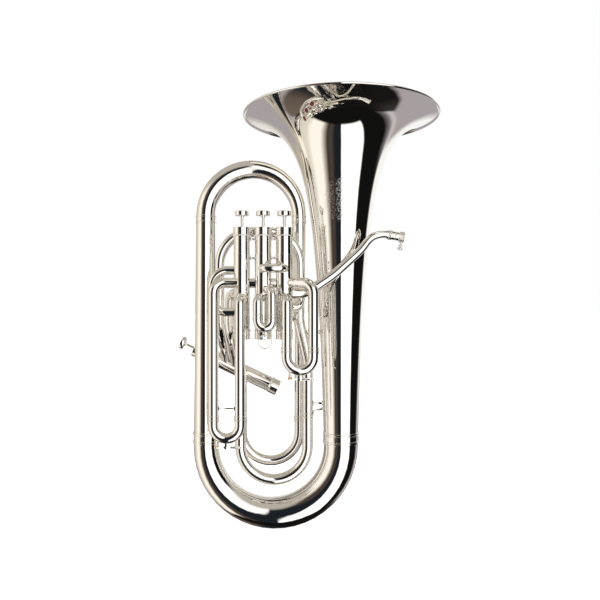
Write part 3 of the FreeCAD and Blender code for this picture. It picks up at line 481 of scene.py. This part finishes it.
def top_cap():
    rim = CAP_R + 0.5 * MM
    hole = STEM_R + 0.12 * MM
    cap = turned([(hole, TOP_CAP - CAP_FLOOR), (hole, TOP_CAP), (hole + 3.2 * MM, TOP_CAP),
                  (hole + 3.6 * MM, TOP_CAP - 0.4 * MM), (hole + 4.0 * MM, TOP_CAP),
                  (CAP_R - 0.6 * MM, TOP_CAP), (CAP_R, TOP_CAP - 0.6 * MM), (CAP_R, 4.6 * MM),
                  (CAP_R - 0.3 * MM, 4.3 * MM), (CAP_R, 4.0 * MM), (CAP_R, 1.6 * MM),
                  (rim, 1.6 * MM), (rim, 0), (CASING_R, 0), (CASING_R, TOP_CAP - CAP_FLOOR),
                  (hole, TOP_CAP - CAP_FLOOR)], sides=96, bevel=0)
    return knurled(cap, 0.2 * MM, 1.4 * MM, 96)


def bottom_cap():
    rim, deep = CAP_R + 0.5 * MM, BOTTOM_CAP
    cap = turned([(1.5 * MM, 0), (6 * MM, 0), (6.4 * MM, 0.4 * MM), (6.8 * MM, 0),
                  (CAP_R - 0.8 * MM, 0), (CAP_R, 0.8 * MM), (CAP_R, 5 * MM),
                  (CAP_R - 0.3 * MM, 5.3 * MM), (CAP_R, 5.6 * MM), (CAP_R, deep - 1.6 * MM),
                  (rim, deep - 1.6 * MM), (rim, deep), (CASING_R, deep), (CASING_R, CAP_FLOOR),
                  (1.5 * MM, CAP_FLOOR), (1.5 * MM, 0)], sides=96, bevel=0)
    return knurled(cap, deep - 1.4 * MM, deep - 0.2 * MM, 96)


def casing(length):
    low, high, band = CAP_FLOOR, length - CAP_FLOOR, length * 0.755
    lip = CASING_R + 0.45 * MM
    return turned([(BORE_R, low), (CASING_R, low), (CASING_R, BOTTOM_CAP + 1.5 * MM),
                   (CASING_R + 0.25 * MM, BOTTOM_CAP + 1.7 * MM),
                   (CASING_R, BOTTOM_CAP + 1.9 * MM), (CASING_R, band), (lip, band),
                   (lip, band + 1.2 * MM), (CASING_R, band + 1.2 * MM),
                   (CASING_R, high), (BORE_R, high), (BORE_R, low)], sides=64, bevel=0.1 * MM)


def shaded(name, base, other, rough, scale, metal=0.0, coat=0.0, height=0.0001):
    """A plain finish whose colour and grain drift over the piece."""
    finish = Finish(name)
    place = finish.object_place()
    cloud = finish.noise(place, scale, 5.0)
    grain = finish.noise(place, scale * 9, 2.0)
    bump = finish.node("ShaderNodeBump", None, {"Strength": 0.35, "Distance": height,
                                                "Height": cloud + 0.5 * grain})
    return finish.shine({"Base Color": finish.blend(cloud, base, other), "Metallic": metal,
                         "Roughness": rough + 0.12 * grain, "Coat Weight": coat, "Normal": bump})


lapped = shaded("lapped_piston_alloy", (0.70, 0.70, 0.69, 1), (0.58, 0.58, 0.58, 1), 0.22, 240.0,
                metal=1.0, height=0.00002)
spring_wire = shaded("drawn_spring_wire", (0.50, 0.50, 0.52, 1), (0.36, 0.36, 0.38, 1), 0.26,
                     600.0, metal=1.0, height=0.00003)
red_inlay = shaded("deep_red_inlay", (0.23, 0.012, 0.012, 1), (0.09, 0.004, 0.006, 1), 0.05,
                   260.0, coat=1.0, height=0.00002)

tops, bottoms = [], []
first_top, first_bottom = top_cap(), bottom_cap()
for number, length in VALVE_LENGTHS.items():
    foot, up = axis_of(number)
    body = "valve_%d" % number
    tops.append(stood(copied(first_top), foot + up * (length - TOP_CAP), up))
    bottoms.append(stood(copied(first_bottom), foot, up))
    barrel = stood(casing(length), foot, up)
    fitted(barrel, "casing_%d" % number, silver, "root", ["valve_casing_%d" % number])

    piston_top = length - TOP_CAP - 7 * MM
    button_foot = length + 15.6 * MM
    stem = turned([(0.4 * MM, piston_top), (9.2 * MM, piston_top), (9.2 * MM, piston_top + 3 * MM),
                   (STEM_R, piston_top + 3 * MM), (STEM_R, button_foot - 0.2 * MM),
                   (0.4 * MM, button_foot - 0.2 * MM)], sides=40)
    fitted(stood(stem, foot, up), "valve_stem_%d" % number, silver, body, ["stem_%d" % number])
    wide, high, cup, sunk = 10.5 * MM, 8.6 * MM, 7.6 * MM, 1.6 * MM
    button = turned([(0.4 * MM, 0), (STEM_R + 1.2 * MM, 0), (STEM_R + 1.2 * MM, 1.4 * MM),
                     (wide - 1.0 * MM, 1.6 * MM), (wide - 0.3 * MM, 1.8 * MM),
                     (wide, 2.3 * MM), (wide, high - 1.0 * MM), (wide - 0.3 * MM, high - 0.3 * MM),
                     (wide - 1.0 * MM, high), (cup + 0.5 * MM, high), (cup, high - 0.5 * MM),
                     (cup, high - sunk), (0.4 * MM, high - sunk)], sides=64)
    fitted(stood(button, foot + up * button_foot, up), "button_cup_%d" % number, silver, body,
           ["finger_button_%d" % number])
    inlay = turned([(cup - 0.1 * MM, 0), (cup - 0.1 * MM, 0.9 * MM), (cup - 1.0 * MM, 1.3 * MM),
                    (cup * 0.5, 1.5 * MM), (0.4 * MM, 1.55 * MM)], sides=64)
    fitted(stood(inlay, foot + up * (button_foot + high - sunk), up), "button_inlay_%d" % number,
           red_inlay, body, [])
    for node, finish in (("piston_%d", lapped), ("valve_spring_%d", spring_wire)):
        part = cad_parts[node % number]
        part.data.materials.clear()
        part.data.materials.append(finish)
    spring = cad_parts["valve_spring_%d" % number]
    heights = [(vertex.co - foot).dot(up) for vertex in spring.data.vertices]
    seat, tall = min(heights), max(heights) - min(heights)
    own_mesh(spring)
    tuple(up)
fitted(joined(tops), "top_cap_set", silver, "root", ["top_caps"])
fitted(joined(bottoms), "bottom_cap_set", silver, "root", ["bottom_caps"])
for spare in (first_top, first_bottom):
    bpy.data.objects.remove(spare)

# The valve slides: a fixed sleeve from each of a casing's two knuckles, with a collar at its
# open end, and a crook that pulls down out of the pair. The legs are bare drawn brass, plated.
SLEEVE_WALL = 0.6 * MM
CROOK_GAP = 0.4 * MM
VALVE_FEET = {number: axis_of(number)[0] for number in (1, 2, 3)}


def at_valve(number, height):
    foot = VALVE_FEET[number]
    return Vector((foot.x, foot.y, height))


def collar(radius):
    """The heavier lip at a sleeve's open end: a half-round bead above a plain band."""
    foot, out = radius - 0.2 * MM, radius + 0.9 * MM
    outline = [(foot, 0), (out - 0.3 * MM, 0), (out - 0.2 * MM, 0.3 * MM),
               (out - 0.2 * MM, 1.6 * MM)]
    outline += bead(radius + 0.1 * MM, out, 1.9 * MM, 3.6 * MM)
    outline += [(radius + 0.1 * MM, 4.3 * MM), (foot, 4.5 * MM), (foot, 0)]
    return turned(outline, sides=48, bevel=0)


def sleeve(x, y, joint, port, bend, radius, goal):
    """Up from the open end, round an elbow and level into a casing."""
    towards = (goal - Vector((x, y, port))).normalized()
    points = [Vector((x, y, joint)), Vector((x, y, port)), goal - towards * TUBE_STOP]
    return tube(points, [bend], even(radius), 40)


def crook_set(node, leg, radius):
    """A slide's bow with its two legs and a bead where each leg starts."""
    low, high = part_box(node)
    left, right, y = low.x + radius, high.x - radius, (low.y + high.y) / 2
    top = high.z - leg
    pieces = [half_turn(left, right, y, top, low.z + radius, even(radius))]
    thin = radius - SLEEVE_WALL - 0.05 * MM
    for x in (left, right):
        pieces.append(tube([Vector((x, y, top - 3 * MM)), Vector((x, y, high.z))], [], even(thin)))
        lip = collar(radius)
        pieces.append(stood(lip, (x, y, top - 4.5 * MM)))
    return joined(pieces), left, right, y, top + CROOK_GAP


# Left and right port heights and elbow bends, in millimetres.
SLIDES = {1: {"radius": 7.7, "leg": 48, "ports": (359, 381), "bends": (11, 16)},
          2: {"radius": 7.0, "leg": 12, "ports": (359, 371), "bends": (9, 11)},
          3: {"radius": 7.7, "leg": 90, "ports": (381, 359), "bends": (16, 11)}}
for number, slide in SLIDES.items():
    radius = slide["radius"] * MM
    crook, left, right, y, joint = crook_set("slide_%d_crook" % number, slide["leg"] * MM, radius)
    fitted(crook, "slide_%d_bow" % number, silver, "slide_%d" % number,
           ["slide_%d_crook" % number])
    pieces = []
    for x, port, bend in zip((left, right), slide["ports"], slide["bends"]):
        goal = at_valve(number, port * MM)
        pieces.append(sleeve(x, y, joint, port * MM, bend * MM, radius, goal))
        pieces.append(stood(collar(radius), (x, y, joint)))
    fitted(joined(pieces), "slide_%d_tubes" % number, silver, "root",
           ["slide_%d_sleeves" % number])

# The tuning slide between the fourth valve and the neck, and the fourth valve's own long loop.
foot_4, up_4 = axis_of(4)


def side_axis(x):
    """The point of the fourth valve's axis over a place along X."""
    return foot_4 + up_4 * ((x - foot_4.x) / up_4.x)


crook, left, right, y, joint = crook_set("main_slide_crook", 50 * MM, MAIN_R)
fitted(crook, "tuning_slide_bow", silver, "main_slide", ["main_slide_crook"])
pieces = [sleeve(left, y, joint, side_axis(left).z, 13 * MM, MAIN_R, side_axis(left)),
          tube([Vector((right, y, joint)), Vector((right, y, NECK_FOOT))], [], even(MAIN_R)),
          stood(collar(MAIN_R), (left, y, joint)), stood(collar(MAIN_R), (right, y, joint)),
          stood(collar(MAIN_R), (right, y, NECK_FOOT - 4 * MM))]
fitted(joined(pieces), "tuning_slide_tubes", silver, "root", ["main_slide_sleeves"])

LONG_R, LONG_PORT = 8.2 * MM, 0.330
crook, left, right, y, joint = crook_set("slide_4_crook", 45 * MM, LONG_R)
fitted(crook, "fourth_slide_bow", silver, "slide_4", ["slide_4_crook"])
goal = at_valve(1, LONG_PORT)
back = Vector((goal.x - 4 * MM, y, goal.z))
end = goal + (back - goal).normalized() * TUBE_STOP
entry = side_axis(left) - UP * TUBE_STOP / math.cos(SIDE_LEAN)
pieces = [tube([Vector((left, y, joint)), entry], [], even(LONG_R)),
          tube([Vector((right, y, joint)), Vector((right, y, goal.z)), back, end],
               [13 * MM, 11 * MM], even(LONG_R)),
          stood(collar(LONG_R), (left, y, joint)), stood(collar(LONG_R), (right, y, joint))]
fitted(joined(pieces), "fourth_slide_tubes", silver, "root", ["slide_4_sleeves"])

# The linking tubes between the casings, drawn and bent, each soldered into a knuckle: the tall
# compensating arch behind, the transfer pipe, and the small loops in front and at the side.


def shortened(points, first=True, last=True):
    """Pulls a route's ends back from the casings' axes to just inside their walls."""
    moved = [point.copy() for point in points]
    if first:
        moved[0] = moved[0] + (moved[1] - moved[0]).normalized() * TUBE_STOP
    if last:
        moved[-1] = moved[-1] + (moved[-2] - moved[-1]).normalized() * TUBE_STOP
    return moved


def reamed(piece, radius, foot, up, length):
    """Cuts a piece back to a bore round an axis that it meets at a slant."""
    bpy.ops.object.select_all(action="DESELECT")
    bpy.ops.mesh.primitive_cylinder_add(vertices=96, radius=radius, depth=2 * length,
                                        location=foot + up * length / 2,
                                        rotation=up.to_track_quat("Z", "Y").to_euler())
    reamer = bpy.context.object
    ream = piece.modifiers.new("ream", "BOOLEAN")
    ream.object = reamer
    ream.solver = "EXACT"
    bpy.context.view_layer.objects.active = piece
    bpy.ops.object.modifier_apply(modifier=ream.name)
    bpy.data.objects.remove(reamer)
    return piece


LINK_R, LOOP_R = 7.5 * MM, 6.5 * MM
ARCH_FOOT, ARCH_KNEE, ARCH_Y, ARCH_BEND = 0.345, 0.322, -24 * MM, 49 * MM
TRANSFER_PORT, TRANSFER_KNEE = 0.366, 0.314
LOOP_TOP, LOOP_BOTTOM = 0.400, 0.338
FRONT_PORT, KNUCKLE_PORT = 0.402, 0.381

arch_low, arch_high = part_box("compensating_return")
left, right, top = arch_low.x + LINK_R, arch_high.x - LINK_R, arch_high.z - LINK_R
route = [side_axis(left + 3.5 * MM), Vector((left, ARCH_Y, ARCH_KNEE)),
         Vector((left, ARCH_Y, top)), Vector((right, ARCH_Y, top)),
         Vector((right, ARCH_Y, ARCH_FOOT)), at_valve(1, ARCH_FOOT)]
arch = tube(shortened(route, first=False), [30 * MM, ARCH_BEND, ARCH_BEND, 13 * MM], even(LINK_R))
reamed(arch, BORE_R + 0.2 * MM, foot_4, up_4, VALVE_LENGTHS[4])
fitted(arch, "compensating_arch", silver, "root", ["compensating_return"])

third = VALVE_FEET[3]
knee_x, knee_y = third.x - 20 * MM, third.y + 17 * MM
route = [at_valve(3, TRANSFER_PORT), Vector((knee_x, knee_y, TRANSFER_PORT)),
         Vector((knee_x, knee_y, TRANSFER_KNEE)), side_axis(third.x - 17 * MM)]
fitted(tube(shortened(route), [12 * MM, 22 * MM], even(LINK_R)), "transfer_tube", silver, "root",
       ["transfer_pipe"])

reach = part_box("third_valve_loop")[0].x + LOOP_R
route = [at_valve(3, LOOP_TOP), Vector((reach, third.y, LOOP_TOP)),
         Vector((reach, third.y, LOOP_BOTTOM)), at_valve(3, LOOP_BOTTOM)]
fitted(tube(shortened(route), [24 * MM, 20 * MM], even(LOOP_R)), "third_valve_bend", silver,
       "root", ["third_valve_loop"])

front_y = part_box("front_loop")[0].y + LOOP_R
second, first = at_valve(2, FRONT_PORT), at_valve(1, FRONT_PORT)
route = [second, Vector((second.x, front_y, FRONT_PORT)), Vector((first.x, front_y, FRONT_PORT)),
         first]
fitted(tube(shortened(route), [10 * MM, 10 * MM], even(LOOP_R)), "front_bend", silver, "root",
       ["front_loop"])

NEIGHBOURS = ((3, 2), (2, 1))
pieces = []
for one, other in NEIGHBOURS:
    ends = [at_valve(one, KNUCKLE_PORT), at_valve(other, KNUCKLE_PORT)]
    pieces.append(tube(shortened(ends), [], even(LINK_R - 0.3 * MM)))
fitted(joined(pieces), "knuckle_tubes", silver, "root", ["casing_knuckles"])

# The leadpipe: a tapered pipe that swings out past the bell to the mouthpiece receiver, whose
# ribbed socket is held by a small thumb screw.
receiver_tilt = math.radians(10)
along = Vector((math.cos(receiver_tilt), 0, -math.sin(receiver_tilt)))
mouth = Vector((0.170, -0.050, 0.453))
LEAD_PORT = 0.366
route = [at_valve(1, LEAD_PORT), Vector((0.050, -0.049, LEAD_PORT)),
         Vector((0.092, -0.050, 0.394)), Vector((0.134, -0.050, 0.432)),
         mouth - along * 20 * MM, mouth + along * 4 * MM]
pipe = tube(shortened(route, last=False), [40 * MM, 120 * MM, 90 * MM, 30 * MM],
            tapering(8.0 * MM, 5.2 * MM), 48)
fitted(pipe, "lead_tube", silver, "root", ["leadpipe"])

RECEIVER_R = 8.5 * MM
rib, throat = RECEIVER_R - 1.0 * MM, RECEIVER_R - 2.6 * MM
outline = [(5.3 * MM, 0), (6.3 * MM, 0), (6.3 * MM, 2 * MM)]
outline += bead(6.6 * MM, rib, 2 * MM, 5 * MM) + bead(6.8 * MM, rib - 0.7 * MM, 5.6 * MM, 7.4 * MM)
outline += [(throat, 8 * MM), (throat, 11.4 * MM)]
outline += bead(throat, throat + 0.8 * MM, 11.8 * MM, 13.6 * MM)
outline += [(throat, 14 * MM), (throat, 17.5 * MM), (rib, 19 * MM)]
outline += bead(rib, RECEIVER_R, 19.4 * MM, 22.4 * MM) + bead(rib, RECEIVER_R, 22.8 * MM, 25.6 * MM)
outline += [(rib - 0.6 * MM, 26 * MM), (6.2 * MM, 26 * MM), (6.2 * MM, 5 * MM),
            (5.3 * MM, 5 * MM), (5.3 * MM, 0)]
socket = turned(outline, sides=64, bevel=0)
fitted(stood(socket, mouth, along), "receiver_socket", silver, "root", ["mouthpiece_receiver"])
down = Vector((-math.sin(receiver_tilt), 0, -math.cos(receiver_tilt)))
screw_foot = mouth + along * 22.5 * MM + down * 6.8 * MM
screw = turned([(0.3 * MM, 0), (1.4 * MM, 0), (1.4 * MM, 4.5 * MM), (3.2 * MM, 5 * MM),
                (3.2 * MM, 6 * MM), (1.6 * MM, 6.6 * MM), (1.6 * MM, 8 * MM), (3.0 * MM, 8.6 * MM),
                (3.6 * MM, 9.4 * MM), (3.6 * MM, 11.4 * MM), (3.0 * MM, 12.4 * MM),
                (0.3 * MM, 12.8 * MM)], sides=48, bevel=0)
knurled(screw, 9.6 * MM, 11.3 * MM, 48)
fitted(stood(screw, screw_foot, down), "thumb_screw_turning", silver, "thumb_screw",
       ["receiver_screw"])

# Stays: turned rods with a domed foot at each end, soft-soldered between tubes so that they
# stiffen the set without pulling it. The solder shows as a small smooth fillet.


def stay(start, end, radius, foot):
    long = (end - start).length
    wide = radius + foot
    lip = min(1.0 * MM, long / 8)
    rod = turned([(0.3 * MM, 0), (wide, 0), (wide, lip * 0.6), (wide - foot * 0.4, lip * 1.1),
                  (radius + foot * 0.15, lip * 1.6), (radius, lip * 2.6),
                  (radius, long - lip * 2.6), (radius + foot * 0.15, long - lip * 1.6),
                  (wide - foot * 0.4, long - lip * 1.1), (wide, long - lip * 0.6), (wide, long),
                  (0.3 * MM, long)], sides=40, bevel=0)
    return stood(rod, start, end - start)


def neck_side(height):
    """The neck's or the tuning slide's face towards the bell."""
    if height < NECK_FOOT:
        return MAIN_RIGHT + MAIN_R
    share = min(max((NECK_BEND - height) / (NECK_BEND - NECK_KNEE), 0), 1)
    return NECK_X + (MAIN_RIGHT - NECK_X) * share + MAIN_R + 1.4 * MM


# Height at the neck's side, rise towards the bell, and radius of each rod.
NECK_STAYS = ((0.306, 0, 2.2 * MM), (0.195, 0, 2.2 * MM), (0.1815, 5 * MM, 1.9 * MM))
CASING_STAYS = (0.446, 0.418)
SLIDE_STAY = 0.200
rods = []
for height, rise, radius in NECK_STAYS:
    start = Vector((neck_side(height) - 0.2 * MM, 0, height))
    end = Vector((BELL_X - bell_radius(height + rise) + 0.2 * MM, 0, height + rise))
    rods.append(stay(start, end, radius, 2.0 * MM))
for one, other in NEIGHBOURS:
    for level in CASING_STAYS:
        a, b = at_valve(one, level), at_valve(other, level)
        gap = Vector((CASING_R + 0.3 * MM, 0, 0))
        rods.append(stay(a + gap, b - gap, 1.4 * MM, 1.2 * MM))
low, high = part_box("slide_3_crook")
across = 15.3 * MM
y = (low.y + high.y) / 2
rods.append(stay(Vector((low.x + across, y, SLIDE_STAY)), Vector((high.x - across, y, SLIDE_STAY)),
                 1.2 * MM, 2.2 * MM))
fitted(joined(rods), "stay_set", silver, "root", ["stays"])


def dressed(node, bevel=0.2 * MM, corner=40):
    """A fitting in its exact shape: a merged copy with its flats cleaned and its edges eased."""
    piece = copied(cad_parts[node])
    pick(piece)
    piece.parent = None
    bpy.ops.object.mode_set(mode="EDIT")
    bpy.ops.mesh.select_all(action="SELECT")
    bpy.ops.mesh.remove_doubles(threshold=1e-6)
    bpy.ops.mesh.dissolve_limited(angle_limit=math.radians(1))
    return closed(bevel, corner)


fitted(dressed("leadpipe_brace"), "leadpipe_stay", silver, "root", ["leadpipe_brace"])

# The second slide's finger ring, free to swing in a small soldered eye.
fitted(dressed("pull_ring_eye", 0.15 * MM), "ring_eye", silver, "slide_2", ["pull_ring_eye"])
ring_low, ring_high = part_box("pull_ring")
loop_wire = (ring_high.y - ring_low.y) / 2
loop = (ring_high.x - ring_low.x) / 2 - loop_wire
centre = (ring_low + ring_high) / 2
ring_at((centre.x + loop, centre.y, centre.z), UP, loop_wire, 20)
bpy.ops.mesh.spin(steps=64, angle=math.tau, center=centre, axis=(0, 1, 0))
fitted(closed(corner=60), "finger_ring", silver, "ring", ["pull_ring"])

# Water keys on the first and third crooks: a plated lever on a pin between two ears, closed by a
# cork over a short spout and held shut by a wire spring.
cork = shaded("water_key_cork", (0.62, 0.42, 0.24, 1), (0.30, 0.18, 0.09, 1), 0.75, 900.0,
              height=0.0003)
for number in (1, 3):
    saddle, key = "water_key_%d_saddle" % number, "water_key_%d" % number
    fitted(dressed(saddle), saddle + "_fitting", silver, "slide_%d" % number, [saddle])
    fitted(dressed(key), key + "_lever", silver, "key_%d" % number, [key])
    low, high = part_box(key)
    pad = turned([(0.3 * MM, 0), (3.5 * MM, 0), (3.55 * MM, 0.6 * MM), (3.5 * MM, 2.5 * MM),
                  (0.3 * MM, 2.5 * MM)], sides=32)
    pad_x = low.x + 3.4 * MM
    stood(pad, (pad_x, (low.y + high.y) / 2, high.z - 2.55 * MM))
    fitted(pad, "water_key_%d_cork" % number, cork, "key_%d" % number, [])

# The plain pale floor and the studio round it: soft panels and dark flags that polished plate
# shows as broad bands, and white behind.
bpy.ops.object.select_all(action="DESELECT")
bpy.ops.mesh.primitive_plane_add(size=1, location=(0, 0, -0.0006))
floor = bpy.context.object
floor.name = "floor"
floor.scale = (30, 30, 1)
bpy.ops.object.transform_apply(location=True, rotation=True, scale=True)
paper = Finish("pale_floor")
mottle = paper.noise(paper.object_place(), 1.5, 2.0)
paper.shine({"Base Color": paper.blend(mottle, (0.93, 0.93, 0.93, 1), (0.96, 0.96, 0.96, 1)),
             "Roughness": 0.9, "Emission Color": (1, 1, 1, 1), "Emission Strength": 0.75})
floor.data.materials.append(paper.owner)
floor.visible_glossy = False

studio = bpy.data.worlds.new("studio")
bpy.context.scene.world = studio
sky = Finish("studio", studio)
way = sky.node("ShaderNodeSeparateXYZ", None,
               {"Vector": sky.node("ShaderNodeTexCoord").part("Generated")})
across = sky.node("ShaderNodeMath", {"operation": "ARCTAN2"},
                  {0: way.part("X"), 1: -1 * way.part("Y")})
round_share = 0.5 + across / math.tau
rise = sky.node("ShaderNodeMath", {"operation": "ARCSINE"}, {0: way.part("Z")})
rise_share = 0.5 + rise / math.pi


def bands(share, stops, scale):
    """A smooth ramp of soft panels; stops are (degrees, colour)."""
    return sky.node("ShaderNodeValToRGB", {}, {"Fac": share},
                    [(0.5 + degrees / scale, colour) for degrees, colour in stops])


WHITE, CREAM, BLACK = (1.3, 1.3, 1.3), (1.05, 1.01, 0.94), (0.006, 0.006, 0.006)
WARM, BEIGE, GREY = (0.66, 0.60, 0.50), (0.42, 0.37, 0.31), (0.40, 0.37, 0.39)
BROWN, NAVY = (0.075, 0.055, 0.045), (0.012, 0.016, 0.022)
level = bands(round_share, [
    (-180, (0.95, 0.95, 0.95)), (-158, (0.62, 0.58, 0.52)), (-146, BEIGE), (-122, WARM),
    (-92, (0.80, 0.75, 0.66)), (-82, CREAM), (-58, CREAM), (-48, (0.45, 0.40, 0.33)),
    (-40, (0.05, 0.04, 0.035)), (-30, BROWN), (-20, NAVY), (-4, NAVY), (-2, WHITE),
    (54, WHITE), (57, BLACK), (112, BLACK), (117, (0.12, 0.11, 0.11)), (123, (1.0, 1.0, 1.0)),
    (180, (0.95, 0.95, 0.95))], 360)
under = sky.node("ShaderNodeValToRGB", {}, {"Fac": way.part("X") * 0.5 + 0.5}, [
    (0.0, GREY), (0.12, GREY), (0.20, (0.17, 0.14, 0.11)), (0.38, (0.12, 0.09, 0.07)),
    (0.44, NAVY), (0.52, BLACK), (0.68, (0.010, 0.009, 0.009)), (0.80, (0.05, 0.045, 0.04)),
    (0.90, GREY), (1.0, GREY)])
behind = bands(round_share, [(-180, (1, 1, 1)), (-130, (1, 1, 1)), (-105, (0, 0, 0)),
                             (105, (0, 0, 0)), (130, (1, 1, 1)), (180, (1, 1, 1))], 360)
front = sky.node("ShaderNodeValToRGB", {}, {"Fac": way.part("X") * 0.5 + 0.5}, [
    (0.0, GREY), (0.10, GREY), (0.16, BLACK), (0.84, BLACK), (0.90, GREY), (1.0, GREY)])
under = sky.blend(behind, front, under)
ground = bands(rise_share, [(-90, (1, 1, 1)), (-14, (1, 1, 1)), (-5, (0, 0, 0)),
                            (90, (0, 0, 0))], 180)
below = bands(rise_share - 0.1 * behind, [(-90, (1, 1, 1)), (-63, (1, 1, 1)),
                                          (-60, (0, 0, 0)), (90, (0, 0, 0))], 180)
above = bands(rise_share, [(-90, (0, 0, 0)), (28, (0, 0, 0)), (44, (1, 1, 1)),
                           (90, (1, 1, 1))], 180)
around = sky.blend(ground * behind, level, (*GREY, 1))
around = sky.blend(below, around, under)
around = sky.blend(above, around, (0.48, 0.45, 0.40, 1))
seen = sky.node("ShaderNodeLightPath").part("Is Camera Ray")
diffuse = sky.node("ShaderNodeLightPath").part("Is Diffuse Ray")
white = sky.blend(seen, around, (1, 1, 1, 1))
white = sky.blend(diffuse, white, (0.9, 0.9, 0.9, 1))
glow = sky.node("ShaderNodeBackground", None, {"Color": white, "Strength": 1.0})
sky.node("ShaderNodeOutputWorld", None, {"Surface": glow})

bpy.ops.object.light_add(type="AREA", location=(0.6, -1.2, 1.9), rotation=(0.62, 0, 0.46))
panel = bpy.context.object
panel.data.size = 1.4
panel.data.energy = 6
panel.visible_glossy = False

# The camera stands level in front of the bell's throat, close enough to look up under the flare.
bpy.ops.object.camera_add(location=(0.0413, -0.950, 0.356), rotation=(math.radians(90), 0, 0))
camera = bpy.context.object
camera.data.lens = 36.45
camera.data.sensor_width = 36
bpy.context.scene.camera = camera
bpy.context.scene.view_settings.view_transform = "Standard"
